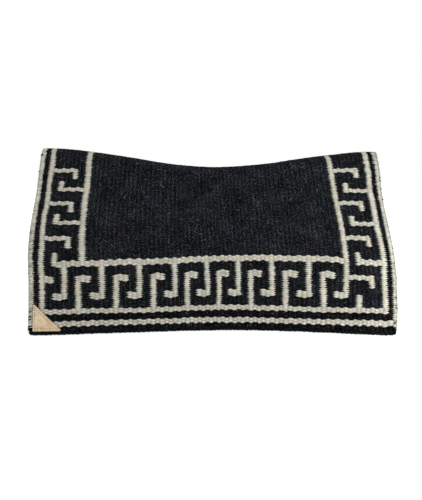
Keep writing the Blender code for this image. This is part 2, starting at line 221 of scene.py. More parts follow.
def read_table(table, rows_at, columns_at, row, column):
    """Numbers read from a table between the places named for its rows and its columns."""
    at_column = np.array([np.interp(column, columns_at, numbers) for numbers in table])
    place = np.interp(row, rows_at, np.arange(len(rows_at)))
    low = np.minimum(place.astype(int), len(rows_at) - 2)
    share = place - low
    each = np.arange(len(low))
    return at_column[low, each] * (1 - share) + at_column[low + 1, each] * share


def over_arch(flat):
    """Flat layout to the near side: x along the spine, v up from the hem, height out of the face."""
    x, v, height = np.asarray(flat, float).T
    ridge_arc = RIDGE_RADIUS * ROOF_ANGLE
    roof = half_drop(x) - BEND_START - BEND_LENGTH - ridge_arc
    turn = (FLAP_ANGLE - ROOF_ANGLE) / BEND_LENGTH

    def run(v):
        flap = np.minimum(v, BEND_START)
        bend = np.clip(v - BEND_START, 0, BEND_LENGTH)
        slope = np.clip(v - BEND_START - BEND_LENGTH, 0, roof)
        ridge = np.clip(v - BEND_START - BEND_LENGTH - roof, 0, ridge_arc)
        after_bend = FLAP_ANGLE - turn * bend
        after_ridge = ROOF_ANGLE - ridge / RIDGE_RADIUS
        y = (flap * math.cos(FLAP_ANGLE) + (math.sin(FLAP_ANGLE) - np.sin(after_bend)) / turn
             + slope * math.cos(ROOF_ANGLE)
             + (math.sin(ROOF_ANGLE) - np.sin(after_ridge)) * RIDGE_RADIUS)
        z = (flap * math.sin(FLAP_ANGLE) + (np.cos(after_bend) - math.cos(FLAP_ANGLE)) / turn
             + slope * math.sin(ROOF_ANGLE)
             + (np.cos(after_ridge) - math.cos(ROOF_ANGLE)) * RIDGE_RADIUS)
        return y, z, after_bend - ridge / RIDGE_RADIUS

    y, z, angle = run(v)
    span = run(half_drop(x))[0]
    near_ridge = np.clip(1 - (half_drop(x) - v) / RIDGE_FADE, 0, 1)
    z = z + np.interp(x, RIDGE_PLACES, RIDGE_LIFT) * near_ridge ** 2 * (3 - 2 * near_ridge)
    y = y - np.interp(x, FOOT_PLACES, FOOT_OUT) * np.clip(1 - v / FOOT_HEIGHT, 0, 1) ** 2
    level = np.clip(1 - v / BEND_START, 0, 1)
    out_y = -np.sin(angle) * (1 - level) - level / math.sin(FLAP_ANGLE)
    out_z = np.cos(angle) * (1 - level)
    leant = x - read_table(LEAN, LEAN_PLACES, LEAN_HEIGHTS, x, v)
    return np.column_stack([leant, y - span + height * out_y, z + height * out_z])


def over_spine(flat):
    """Flat layout to a piece that crosses the spine: its second number is measured from there."""
    x, across, height = np.asarray(flat, float).T
    points = over_arch(np.column_stack([x, half_drop(x) - np.abs(across), height]))
    points[:, 1] *= np.where(across > 0, -1, 1)
    return points


def on_side(side, points, faces):
    """Points and faces of a near-side piece, or for the off side their mirror image."""
    if side == "near":
        return points, faces
    return points * (1, -1, 1), [face[::-1] for face in faces]


def uneven(rng, x, v, wavelength, size):
    """A gentle unevenness over the cloth, as a sum of waves that run every way."""
    total = np.zeros(np.shape(x))
    for turn, phase in rng.uniform(0, math.tau, (UNEVEN_WAVES, 2)):
        total += np.sin(math.tau * (x * math.cos(turn) + v * math.sin(turn)) / wavelength + phase)
    return size * total / math.sqrt(UNEVEN_WAVES)


def add_piece(name, points, faces, finish, slot, *nodes):
    """One finished piece at its place in the frame, standing for the given nodes."""
    mesh = bpy.data.meshes.new(name)
    mesh.from_pydata(points.tolist(), [], [tuple(face) for face in faces])
    mesh.materials.append(finish)
    mesh.shade_smooth()
    piece = in_scene(name, mesh)
    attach(piece, "root")
    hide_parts(*nodes)
    return piece


def layer_grid(columns, rows, top, bottom, radius):
    """A closed slab with round edges over a grid of (x, v) places, from bottom to top off the face.

    Returns the grid's flat coordinates, upper sheet first, and its faces.
    """
    across, up = len(columns), len(rows)
    x, v = np.meshgrid(columns, rows, indexing="ij")
    edge = np.minimum.reduce([x - columns[0], columns[-1] - x, v - rows[0], rows[-1] - v])
    fall = radius - np.sqrt(np.maximum(radius ** 2 - np.maximum(radius - edge, 0) ** 2, 0))
    sheets = [np.stack([x, v, np.full(x.shape, top) - fall], -1),
              np.stack([x, v, np.full(x.shape, bottom) + fall], -1)]
    points = np.concatenate([sheet.reshape(-1, 3) for sheet in sheets])
    index = np.arange(across * up).reshape(across, up)
    a, b, c, d = index[:-1, :-1], index[1:, :-1], index[1:, 1:], index[:-1, 1:]
    upper = np.stack([a, b, c, d], -1).reshape(-1, 4)
    lower = upper[:, ::-1] + across * up
    rim = np.concatenate([index[:, 0], index[-1, 1:], index[-2::-1, -1], index[0, -2:0:-1]])
    after = np.roll(rim, -1)
    walls = np.stack([after, rim, rim + across * up, after + across * up], -1)
    return points, np.concatenate([upper, lower, walls])


def edged_steps(length, step, radius):
    """Places along a side of a layer: even steps, and close ones on the rounded edges."""
    edge = radius * (1 - np.cos(np.linspace(0, math.pi / 2, ROUND_EDGE_POINTS)))
    inner = np.linspace(radius, length - radius, max(int(length / step), 2))
    return np.concatenate([edge[:-1], inner, length - edge[-2::-1]])


def new_finish(name):
    """A new material, and the way to add nodes to it."""
    finish = bpy.data.materials.new(name)
    return finish, node_maker(finish)


def mixed(add, share, first, second, **values):
    """Two colours mixed by a share. Each is three numbers or the output of a node."""
    pair = [colour if isinstance(colour, bpy.types.NodeSocket) else (*colour, 1)
            for colour in (first, second)]
    return add("Mix", {0: share, 6: pair[0], 7: pair[1]}, output=2, data_type="RGBA", **values)


def surfaced(finish, add, colour, rough, relief, gloss=0.5, sheen=0):
    """Give a finish its colour, roughness and relief, and how much it shines.

    rough is a pattern with the least and the most roughness, relief one with a strength and a depth.
    """
    tree = finish.node_tree
    shader = tree.nodes["Principled BSDF"]
    roughness = add("MapRange", {"Value": rough[0], "To Min": rough[1], "To Max": rough[2]})
    bump = add("Bump", {"Height": relief[0], "Strength": relief[1], "Distance": relief[2]})
    for socket, source in (("Base Color", colour), ("Roughness", roughness), ("Normal", bump)):
        tree.links.new(source, shader.inputs[socket])
    shader.inputs["Specular IOR Level"].default_value = gloss
    shader.inputs["Sheen Weight"].default_value = sheen
    return finish


def felt_material():
    """Pressed grey wool: short fibres every way, clouds of lighter and darker wool, no shine."""
    finish, add = new_finish("charcoal_felt_fibre")
    place = add("TexCoord", output="Object")
    clouds = add("TexNoise", {"Vector": place, "Scale": 45, "Detail": 3})
    fibres = add("TexNoise", {"Vector": place, "Scale": 900, "Detail": 4, "Distortion": 1.5})
    blend = add("Math", {0: clouds, 1: fibres}, operation="ADD")
    blend = add("MapRange", {"Value": blend, "From Min": 0.7, "From Max": 1.3})
    colour = mixed(add, blend, (0.025, 0.025, 0.027), (0.085, 0.085, 0.088))
    return surfaced(finish, add, colour, (fibres, 0.85, 1), (fibres, 0.7, 0.0006), gloss=0.2, sheen=0.1)


def add_felt():
    rng = np.random.default_rng(3)
    top = -WEAVE_THICKNESS - CLEARANCE
    columns = edged_steps(2 * HALF_LENGTH, FELT_STEP, FELT_EDGE_RADIUS) - HALF_LENGTH
    rows = edged_steps(MIDDLE_DROP, FELT_STEP, FELT_EDGE_RADIUS)
    flat, faces = layer_grid(columns, rows, top, top - FELT_THICKNESS, FELT_EDGE_RADIUS)
    inside = (flat[:, 1] - FELT_EDGE_RADIUS) / (MIDDLE_DROP - 2 * FELT_EDGE_RADIUS)
    longer = half_drop(flat[:, 0]) - CLEARANCE - MIDDLE_DROP
    flat[:, 1] += longer * np.clip(inside, 0, 1)
    along = np.clip((np.abs(flat[:, 0]) - HALF_LENGTH) / FELT_CORNER + 1, 0, 1)
    down = np.clip(1 - flat[:, 1] / FELT_CORNER, 0, 1)
    flat[:, 0] -= np.sign(flat[:, 0]) * FELT_CORNER * along * (1 - np.sqrt(1 - down ** 2 / 2))
    flat[:, 1] += FELT_CORNER * down * (1 - np.sqrt(1 - along ** 2 / 2))
    underside = flat[:, 2] < top - FELT_THICKNESS / 2
    flat[underside, 2] += uneven(rng, *flat[underside, :2].T, *FELT_UNDERSIDE_UNEVEN)
    finish = felt_material()
    points = over_arch(flat)
    for side in ("near", "off"):
        felt = add_piece(side + "_felt", *on_side(side, points, faces), finish, "charcoal_felt",
                         side + "_felt_underlay")


add_felt()


# Spine tape
# Black cotton tape glued and sewn under the butted edges of the felt, so that the ridge stays
# closed. It is woven in a fine herringbone and held by a row of stitches along each edge.

TAPE_WIDTH = 0.038
TAPE_THICKNESS = 0.002
TAPE_EDGE_RADIUS = 0.0008
TAPE_STEP_ALONG = 0.006
TAPE_STEP_ACROSS = 0.003
TAPE_UNEVEN = (0.09, 0.0004)
TAPE_STITCH_PITCH = 0.007
TAPE_STITCH_LENGTH = 0.0045
TAPE_STITCH_INSET = 0.004
# A stitch's points along half its length, and how far each is sunk, in radii of the thread
STITCH_REACH_SHARES = np.array([-1, -0.8, 0, 0.8, 1])
STITCH_SINK_SHARES = np.array([1, -0.5, -0.8, -0.5, 1])
THREAD_RADIUS = 0.0005
THREAD_SIDES = 6
FULL_THICKNESS = WEAVE_THICKNESS + CLEARANCE + FELT_THICKNESS


def tape_material():
    finish, add = new_finish("black_cotton_tape")
    place = add("TexCoord", output="Object")
    along, across = [add("TexWave", {"Vector": place, "Scale": scale, "Distortion": 0.4, "Detail": 2},
                         output=1, bands_direction=way) for scale, way in ((140, "X"), (110, "Y"))]
    weave = add("Math", {0: along, 1: across}, operation="MULTIPLY")
    colour = mixed(add, weave, (0.012, 0.012, 0.013), (0.034, 0.034, 0.037))
    return surfaced(finish, add, colour, (weave, 0.7, 0.9), (weave, 0.5, 0.0003))


def sweep(path, aside, radius, sides):
    """Points and faces of a closed tube. aside gives a direction across all of the path, or one at
    each point of it."""
    path = np.asarray(path, float)
    along = np.gradient(path, axis=0)
    along /= np.linalg.norm(along, axis=1, keepdims=True)
    aside = np.asarray(aside, float)
    first = aside - along * np.sum(aside * along, axis=1, keepdims=True)
    first /= np.linalg.norm(first, axis=1, keepdims=True)
    second = np.cross(along, first)
    turns = math.tau * np.arange(sides) / sides
    radii = np.broadcast_to(radius, len(path))[:, None, None]
    rings = (first[:, None] * np.cos(turns)[None, :, None]
             + second[:, None] * np.sin(turns)[None, :, None])
    points = (path[:, None] + radii * rings).reshape(-1, 3)
    index = np.arange(len(points)).reshape(-1, sides)
    after = np.roll(index, -1, axis=1)
    walls = np.stack([index[:-1], after[:-1], after[1:], index[1:]], -1).reshape(-1, 4)
    faces = [tuple(face) for face in walls.tolist()]
    return points, faces + [tuple(index[0, ::-1].tolist()), tuple(index[-1].tolist())]


def joined(parts):
    """Several sets of points and faces as one."""
    points, faces, start = [], [], 0
    for found, around in parts:
        points.append(found)
        faces += [tuple(i + start for i in face) for face in around]
        start += len(found)
    return np.concatenate(points), faces


def thread_material(name, dark, light):
    """Twisted sewing thread, a little waxed."""
    finish, add = new_finish(name)
    plies = add("TexNoise", {"Vector": add("TexCoord", output="Object"), "Scale": 1500, "Detail": 2})
    return surfaced(finish, add, mixed(add, plies, dark, light), (plies, 0.55, 0.8),
                    (plies, 0.4, 0.0002))


def add_tape():
    rng = np.random.default_rng(5)
    top = -FULL_THICKNESS - CLEARANCE
    columns = edged_steps(2 * HALF_LENGTH, TAPE_STEP_ALONG, TAPE_EDGE_RADIUS) - HALF_LENGTH
    rows = edged_steps(TAPE_WIDTH, TAPE_STEP_ACROSS, TAPE_EDGE_RADIUS) - TAPE_WIDTH / 2
    flat, faces = layer_grid(columns, rows, top, top - TAPE_THICKNESS, TAPE_EDGE_RADIUS)
    flat[:, 1] += uneven(rng, flat[:, 0], 0, *TAPE_UNEVEN)
    add_piece("seam_tape_cloth", over_spine(flat), faces, tape_material(), "seam_cloth",
              "spine_seam_tape")
    stitches = []
    reach = TAPE_STITCH_LENGTH / 2 * STITCH_REACH_SHARES
    height = top - TAPE_THICKNESS + THREAD_RADIUS * STITCH_SINK_SHARES
    for across in (TAPE_STITCH_INSET - TAPE_WIDTH / 2, TAPE_WIDTH / 2 - TAPE_STITCH_INSET):
        for x in np.arange(-HALF_LENGTH + TAPE_STITCH_PITCH, HALF_LENGTH, TAPE_STITCH_PITCH):
            run = np.column_stack([x + reach, np.full(len(reach), across), height])
            stitches.append(sweep(over_spine(run), (0, 0, 1), THREAD_RADIUS, THREAD_SIDES))
    finish = thread_material("black_tape_thread", (0.01, 0.01, 0.01), (0.03, 0.03, 0.03))
    add_piece("seam_tape_stitches", *joined(stitches), finish, "seam_cloth")


add_tape()


# Woven cover
# Each half is one piece of weft-faced cloth in black and undyed grey wool. Thick weft runs over
# one rib and under the next, so the face is made of fat yarn beads, one rib wide and two picks
# high, which lie half a bead up from rib to rib. Seven colour areas are seven sets of wefts.

RIB_COUNT = 83
PICK_PITCH = 0.0024
SELVEDGE_WIDTH = 0.004
LACING_WIDTH = 0.008
HEM_CORD_TOP = 0.0091
FRONT_BAND_WIDTH = 0.0075
FRONT_GUARD_WIDTH = 0.0165
REAR_GUARD_WIDTH = 0.014
REAR_BAND_WIDTH = 0.004
SELVEDGE_OVERLAP = 0.0007
DRAW_IN_SHARE = 0.115
DRAW_IN_PLACE_SHARE = 0.505
DRAW_IN_REACH_SHARE = 0.19
UNEVEN_PLACES = (-0.37, -0.312, -0.300, -0.15, -0.07, 0.09, 0.17, 0.30, 0.36, 0.40)
UNEVEN_RIBS = (0, 0.0003, 0.0020, 0.0043, 0.0027, 0.0042, 0.0026, 0.0058, 0.0033, 0.0004)
WOVEN_HALF = HALF_LENGTH - SELVEDGE_WIDTH
WEAVE_FOOT = HEM_CORD_TOP + CLEARANCE

OUTER_RIB = 2
INNER_RIB = 11
KEY_REPEAT_RIBS = 8
KEY_REPEATS = 8
FIRST_HANGING_BAR = 7
FIRST_STANDING_BAR = 10
HOOK_RIBS = 3
STUB_RIBS = 2
REAR_STUB_RIB = 74
ARM_RIBS = 6
# Picks up from the hem to each foot and top, and to the middle of the first arm of each row
HEM_TOP = 8
BAND_TOP = 12
LOWER_LINE, LOWER_LINE_TOP = 20, 24
HANGING_HOOK, HANGING_HOOK_TOP = 34, 40
STANDING_HOOK, STANDING_HOOK_TOP = 52, 58
UPPER_LINE, UPPER_LINE_TOP = 68, 72
REAR_STUB_TOP = 37
FRONT_OUTER_ARM = 96
FRONT_INNER_ARM = 114
REAR_INNER_ARM = 54
REAR_OUTER_ARM = 70
ARM_HALF = 2
ARM_HOOK = 8
ARM_REPEAT = 42
PLAIN_TOP = 0.055

AREAS = ("field", "inner_key", "meander", "outer_key", "guard_stripe", "edge_band", "hem_band")
FIELD, INNER_KEY, MEANDER, OUTER_KEY, GUARD, BAND, HEM = range(len(AREAS))
PALE_AREAS = (INNER_KEY, OUTER_KEY, BAND)

BEAD_TIP_SHARE = 0.30
BEAD_TIP_LEAST = 0.0021
LEAST_BEAD_SHARE = 0.05
PALE_SPREAD_ACROSS = 0.0016
PALE_SPREAD_UP = 0.0012
# A bead's shoulder and crest lie at shares of the way out to its tips, and at heights off the face
SHOULDER_SHARE = 0.70
SHOULDER_HEIGHT = -0.00055
SHOULDER_RISE = 0.0001
CREST_SHARE = 0.42
CREST_HEIGHT = -0.0001
CREST_DROP = 0.00012
GROOVE_BESIDE = -0.0026
GROOVE_BETWEEN = -0.0009
EDGE_HEIGHT = -0.0009
BACK_HEIGHT = -0.0065

# Slow unevenness of the ribs, of the beads' tips and of the rows. The first two fade out at the ends.
RIBS_UNEVEN = (0.09, 0.0007)
RIBS_FADE = 0.02
TIPS_UNEVEN = (0.013, 0.0002)
TIPS_FADE = 0.003
ROWS_UNEVEN = (0.07, 0.0004)
# Spread from bead to bead: tips, mid ribs, rows, grooves, crests and the shoulder's share
TIP_SPREAD = 0.0011
MID_RIB_SPREAD = 0.0003
ROW_SPREAD = 0.00018
GROOVE_SPREAD = 0.0002
CREST_SPREAD = 0.00018
SHOULDER_SPREAD = 0.02

# How far the weaver's rows ran off level, in picks: at these ribs, a row of numbers for each pick
DRIFT_RIBS = (0, 13, 20, 26, 33, 40, 47, 53, 60, 67, 74, 80)
DRIFT_PICKS = (4, 10, 22, 40, 52, 71, 90)
DRIFT = ((0, 0, 0, 0, 0, 0, 0, 0, 0, 0, 0, 0),
         (0.6, 1.3, 0.9, 0.8, 0.6, 1.2, 1.1, 1.1, 1.1, 1.5, 2.0, 1.5),
         (0.6, 0.8, 0, -0.6, 0.2, 0.9, 1.3, 1.1, 1.0, 0.9, 1.1, 0.8),
         (0.4, 0.6, 0, -0.2, 0.2, 1.1, 1.5, 1.5, 1.2, 1.1, 1.1, 0.7),
         (-0.7, -0.3, -0.3, -0.3, 0.2, 1.6, 2.7, 2.8, 2.8, 2.9, 1.7, 0.3),
         (-0.7, -0.3, 0.1, -0.3, 0.5, 1.9, 2.7, 3.4, 3.4, 3.7, 1.1, -0.2),
         (0.6, 0.6, 0.6, 0.6, 0.6, 0.6, 0.6, 0.6, 0.6, 0.6, 0.6, 0.6))
LOOSE_DOWN = 0.3
LOOSE_UP = 0.8
LOOSE_REACH = 7


def drawn_in(rib):
    """A rib's count from the front, with the ribs pulled towards mid length."""
    away = (rib - DRAW_IN_PLACE_SHARE * RIB_COUNT) / (DRAW_IN_REACH_SHARE * RIB_COUNT)
    return rib - DRAW_IN_SHARE * DRAW_IN_REACH_SHARE * RIB_COUNT * away * np.exp(-away ** 2)


def rib_places():
    """Place along the length of each rib's front edge, and of the last one's rear edge."""
    first, last = OUTER_RIB, RIB_COUNT - OUTER_RIB
    ribs = np.arange(first, last + 1)
    share = (drawn_in(ribs) - drawn_in(first)) / (drawn_in(last) - drawn_in(first))
    front = -WOVEN_HALF + FRONT_BAND_WIDTH
    rear = WOVEN_HALF - REAR_BAND_WIDTH
    inner = front + FRONT_GUARD_WIDTH + (rear - REAR_GUARD_WIDTH - front - FRONT_GUARD_WIDTH) * share
    inner += np.interp(inner, UNEVEN_PLACES, UNEVEN_RIBS)
    end = WOVEN_HALF + SELVEDGE_OVERLAP
    return np.concatenate([[-end, front], inner, [rear, end]])


RIB_X = rib_places()
PICK_COUNT = int((MIDDLE_DROP + FRONT_RISE) / PICK_PITCH) + 2


def paint_arm(area, kind, base, towards, pick, hook):
    """One hooked arm out of a frame line: base is its first rib, hook 1 for up and -1 for down."""
    tip = base + towards * (ARM_RIBS - 1)
    area[min(base, tip):max(base, tip) + 1, pick - ARM_HALF:pick + ARM_HALF] = kind
    if hook > 0:
        area[tip, pick + ARM_HALF:pick + ARM_HALF + ARM_HOOK] = kind
    else:
        area[tip, pick - ARM_HALF - ARM_HOOK:pick - ARM_HALF] = kind


def weave_pattern():
    """The area that each rib and pick belongs to. Picks are counted up from the hem."""
    area = np.full((RIB_COUNT, PICK_COUNT), MEANDER)
    rear_outer, rear_inner = RIB_COUNT - OUTER_RIB - 1, RIB_COUNT - INNER_RIB - 1
    area[INNER_RIB + 1:rear_inner, UPPER_LINE_TOP:] = FIELD
    area[INNER_RIB, UPPER_LINE:] = INNER_KEY
    area[rear_inner, HANGING_HOOK:] = INNER_KEY
    area[INNER_RIB - ARM_RIBS:rear_inner, UPPER_LINE:UPPER_LINE_TOP] = INNER_KEY
    area[INNER_RIB - ARM_RIBS, UPPER_LINE_TOP:UPPER_LINE_TOP + ARM_HOOK] = INNER_KEY
    for i in range(KEY_REPEATS + 1):
        bar = min(FIRST_HANGING_BAR + KEY_REPEAT_RIBS * i, rear_inner)
        area[bar, HANGING_HOOK_TOP:UPPER_LINE] = INNER_KEY
        area[bar + 1 - HOOK_RIBS:bar + 1, HANGING_HOOK:HANGING_HOOK_TOP] = INNER_KEY
    area[OUTER_RIB:rear_outer + 1, LOWER_LINE:LOWER_LINE_TOP] = OUTER_KEY
    area[[OUTER_RIB, rear_outer], LOWER_LINE:] = OUTER_KEY
    for i in range(KEY_REPEATS):
        bar = FIRST_STANDING_BAR + KEY_REPEAT_RIBS * i
        area[bar, LOWER_LINE_TOP:STANDING_HOOK_TOP] = OUTER_KEY
        area[bar:bar + HOOK_RIBS, STANDING_HOOK:STANDING_HOOK_TOP] = OUTER_KEY
    area[OUTER_RIB + 1:OUTER_RIB + 1 + STUB_RIBS, STANDING_HOOK:STANDING_HOOK_TOP] = OUTER_KEY
    area[REAR_STUB_RIB, LOWER_LINE_TOP:REAR_STUB_TOP] = OUTER_KEY
    arms = ((OUTER_KEY, OUTER_RIB + 1, 1, FRONT_OUTER_ARM, -1),
            (INNER_KEY, INNER_RIB - 1, -1, FRONT_INNER_ARM, 1),
            (INNER_KEY, rear_inner + 1, 1, REAR_INNER_ARM, -1),
            (OUTER_KEY, rear_outer - 1, -1, REAR_OUTER_ARM, 1))
    for kind, base, towards, first, hook in arms:
        top = half_drop(RIB_X[base]) - PLAIN_TOP
        for pick in range(first, int(top / PICK_PITCH) - ARM_HALF, ARM_REPEAT):
            paint_arm(area, kind, base, towards, pick, hook)
    area[1:-1, BAND_TOP:LOWER_LINE] = GUARD
    area[[1, -2], BAND_TOP:] = GUARD
    area[[0, -1], HEM_TOP:] = BAND
    area[:, HEM_TOP:BAND_TOP] = BAND
    area[:, :HEM_TOP] = HEM
    return area


def row_drift(rib, pick):
    """How far off level a place in the weave is, in picks. The line over the keys is loosely beaten."""
    share = np.clip((pick - UPPER_LINE) / (UPPER_LINE_TOP - UPPER_LINE), 0, 1)
    outside = np.maximum(np.maximum(UPPER_LINE - pick, pick - UPPER_LINE_TOP), 0)
    loose = (share * LOOSE_UP - (1 - share) * LOOSE_DOWN) * np.exp(-(outside / LOOSE_REACH) ** 2)
    return read_table(DRIFT, DRIFT_PICKS, DRIFT_RIBS, pick, rib) + loose


def weave_top(x):
    """Height up the cloth at which the lacing takes over."""
    return half_drop(x) - LACING_WIDTH / 2 - CLEARANCE


class Weave:
    """The beads of one half in the flat layout, with the corners that neighbours share.

    A corner on a rib's edge has an even key, one between two beads of a rib an odd key.
    """
    # Corners round a bead from its front tip, anticlockwise: ribs across, picks up, mid rib or not
    RING = ((0, 0, 0), (0, -1, 0), (0, -1, 1), (1, -1, 0), (1, 0, 0), (1, 1, 0), (0, 1, 1), (0, 1, 0))

    def __init__(self, seed):
        self.rng = np.random.default_rng(seed)
        counted = np.add.outer(np.arange(RIB_COUNT), np.arange(PICK_COUNT))
        ribs, picks = np.nonzero(counted % 2 == 0)
        self.keys = np.stack([self.key(ribs + a, picks + up, mid) for a, up, mid in self.RING], 1)
        self.kinds = weave_pattern()[ribs, picks]
        self.corners = self.place_corners()
        self.drop_outside()
        self.spread_pale()
        self.trim()

    def key(self, rib, pick, mid):
        return 2 * (rib * (PICK_COUNT + 2) + pick + 1) + mid

    def place_corners(self):
        ribs, picks, mid = np.meshgrid(np.arange(RIB_COUNT + 1), np.arange(-1, PICK_COUNT + 1), (0, 1),
                                       indexing="ij")
        ribs, picks, mid = ribs.ravel(), picks.ravel(), mid.ravel()
        width = np.diff(RIB_X)
        before, after = width[np.maximum(ribs - 1, 0)], width[np.minimum(ribs, RIB_COUNT - 1)]
        tip = np.maximum(BEAD_TIP_SHARE * np.minimum(before, after), BEAD_TIP_LEAST)
        tip = np.where((ribs - 1 + picks) % 2 == 0, tip, -tip)
        tip *= (ribs > 0) & (ribs < RIB_COUNT)
        x = RIB_X[ribs] + np.where(mid == 1, after / 2, tip)
        v = (picks + 0.5) * PICK_PITCH + row_drift(ribs + mid / 2, picks + 0.5) * PICK_PITCH
        inner = WOVEN_HALF - np.abs(x)
        near_tip = np.clip(inner / TIPS_FADE, 0, 1)
        x += np.clip(inner / RIBS_FADE, 0, 1) * uneven(self.rng, x, v, *RIBS_UNEVEN)
        x += near_tip * uneven(self.rng, x, v, *TIPS_UNEVEN)
        x += near_tip * self.rng.normal(0, np.where(mid == 1, MID_RIB_SPREAD, TIP_SPREAD))
        v += uneven(self.rng, x, v, *ROWS_UNEVEN) + self.rng.normal(0, ROW_SPREAD, len(x))
        groove = np.where(mid == 1, GROOVE_BETWEEN, GROOVE_BESIDE)
        return np.column_stack([x, v, groove + self.rng.normal(0, GROOVE_SPREAD, len(x))])

    def drop_outside(self):
        """Leave out the beads that lie past the hem roll or the lacing."""
        x, v, _ = self.corners[self.keys[:, [0, 4]]].mean(1).T
        margin = LEAST_BEAD_SHARE * PICK_PITCH
        kept = (v > WEAVE_FOOT + margin) & (v < weave_top(x) - margin)
        self.keys, self.kinds = self.keys[kept], self.kinds[kept]

    def spread_pale(self):
        """Pale yarn is the thicker one: its beads swell over the black ones beside them."""
        pale = np.isin(self.kinds, PALE_AREAS).astype(float)
        total = np.zeros(len(self.corners))
        light = np.zeros(len(self.corners))
        push = np.zeros((len(self.corners), 2))
        for k, (a, up, mid) in enumerate(self.RING):
            towards = np.array([0 if mid else 2 * a - 1, up], float)
            np.add.at(total, self.keys[:, k], 1)
            np.add.at(light, self.keys[:, k], pale)
            np.add.at(push, self.keys[:, k], pale[:, None] * towards)
        border = (light > 0) & (light < total)
        size = np.maximum(np.linalg.norm(push, axis=1), 1e-9)[:, None]
        spread = np.where(border[:, None], push / size, 0) * (PALE_SPREAD_ACROSS, PALE_SPREAD_UP)
        self.corners[:, :2] += spread

    def trim(self):
        """Keep every corner inside the cords and the lacing, and close the gaps to them."""
        x, v, height = self.corners.T
        reach = WOVEN_HALF + SELVEDGE_OVERLAP
        x[:] = np.clip(x, -reach, reach)
        height[np.abs(x) > reach - CLEARANCE] = EDGE_HEIGHT
        top = weave_top(x)
        near = (1 + LEAST_BEAD_SHARE) * PICK_PITCH
        over, under = v - (top - near), (WEAVE_FOOT + near) - v
        v[:] = np.where(over > 0, top - CLEARANCE * np.exp(-over / PICK_PITCH), v)
        v[:] = np.where(under > 0, WEAVE_FOOT + CLEARANCE * np.exp(-under / PICK_PITCH), v)

    def piece(self, kind):
        """Flat points, faces, each face's bead tone and each point's depth in a groove, of one area."""
        own = self.kinds == kind
        keys = self.keys[own]
        used, ring = np.unique(keys, return_inverse=True)
        ring = ring.reshape(keys.shape)
        corners = self.corners[used].copy()
        self.leave_gap(corners, used, keys, ring)
        count, beads, sides = len(corners), len(keys), len(self.RING)
        around = corners[ring]
        middle = around.mean(1)
        middle[:, 1] = (around[:, 2, 1] + around[:, 6, 1]) / 2
        lift = self.rng.normal(0, CREST_SPREAD, beads)
        plump = self.rng.normal(SHOULDER_SHARE, SHOULDER_SPREAD, (beads, 1, 1))
        inner = middle[:, None] + (around - middle[:, None]) * plump
        inner[:, :, 2] = SHOULDER_HEIGHT + lift[:, None]
        inner[:, [2, 6], 2] += SHOULDER_RISE
        crest = np.stack([middle + (around[:, k] - middle) * share
                          for k, share in ((0, CREST_SHARE), (0, 0), (4, CREST_SHARE))], 1)
        crest[:, :, 1] = middle[:, None, 1]
        crest[:, :, 2] = CREST_HEIGHT + lift[:, None] - np.array([CREST_DROP, 0, CREST_DROP])
        back = corners.copy()
        back[:, 2] = BACK_HEIGHT
        tops = crest.shape[1]
        inner_at = count + sides * np.arange(beads)[:, None] + np.arange(sides)
        crest_at = count + sides * beads + tops * np.arange(beads)[:, None] + np.arange(tops)
        back_from = count + (sides + tops) * beads
        points = np.concatenate([corners, inner.reshape(-1, 3), crest.reshape(-1, 3), back])
        groups = []
        for k in range(sides):
            n = (k + 1) % sides
            groups.append(np.stack([ring[:, k], ring[:, n], inner_at[:, n], inner_at[:, k]], 1))
        for a, b, c, d in ((1, 2, 1, 0), (2, 3, 2, 1), (5, 6, 1, 2), (6, 7, 0, 1)):
            groups.append(np.stack([inner_at[:, a], inner_at[:, b], crest_at[:, c], crest_at[:, d]], 1))
        for a, b, c in ((7, 0, 0), (0, 1, 0), (3, 4, 2), (4, 5, 2)):
            groups.append(np.stack([inner_at[:, a], inner_at[:, b], crest_at[:, c]], 1))
        groups.append(back_from + ring[:, ::-1])
        edges = set(zip(ring.ravel().tolist(), np.roll(ring, -1, axis=1).ravel().tolist()))
        walls = [(b, a, back_from + a, back_from + b)
                 for a, b in sorted(edges) if (b, a) not in edges]
        faces = [tuple(face) for group in groups for face in group.tolist()]
        tone = self.rng.random(beads)
        tones = np.concatenate([np.tile(tone, len(groups)), np.full(len(walls), 0.5)])
        deep = np.zeros(len(points))
        deep[:count] = np.where(used % 2 == 0, 1, 0.5)
        return points, faces + walls, tones, deep

    def leave_gap(self, corners, used, keys, ring):
        """Leave half a clearance between this area and the next."""
        total = np.zeros(len(self.corners))
        np.add.at(total, self.keys.ravel(), 1)
        own = np.zeros(len(corners))
        middle = np.zeros((len(corners), 2))
        centre = self.corners[keys][:, :, :2].mean(1)
        for k in range(len(self.RING)):
            np.add.at(own, ring[:, k], 1)
            np.add.at(middle, ring[:, k], centre)
        shared = own < total[used]
        back = middle / own[:, None] - corners[:, :2]
        back /= np.linalg.norm(back, axis=1, keepdims=True)
        corners[shared, :2] += back[shared] * CLEARANCE / 2


GROOVE_SHADE = 0.45
COOL_DYE = (0.90, 1.01, 1.05)
WARM_DYE = (1.11, 0.99, 0.94)


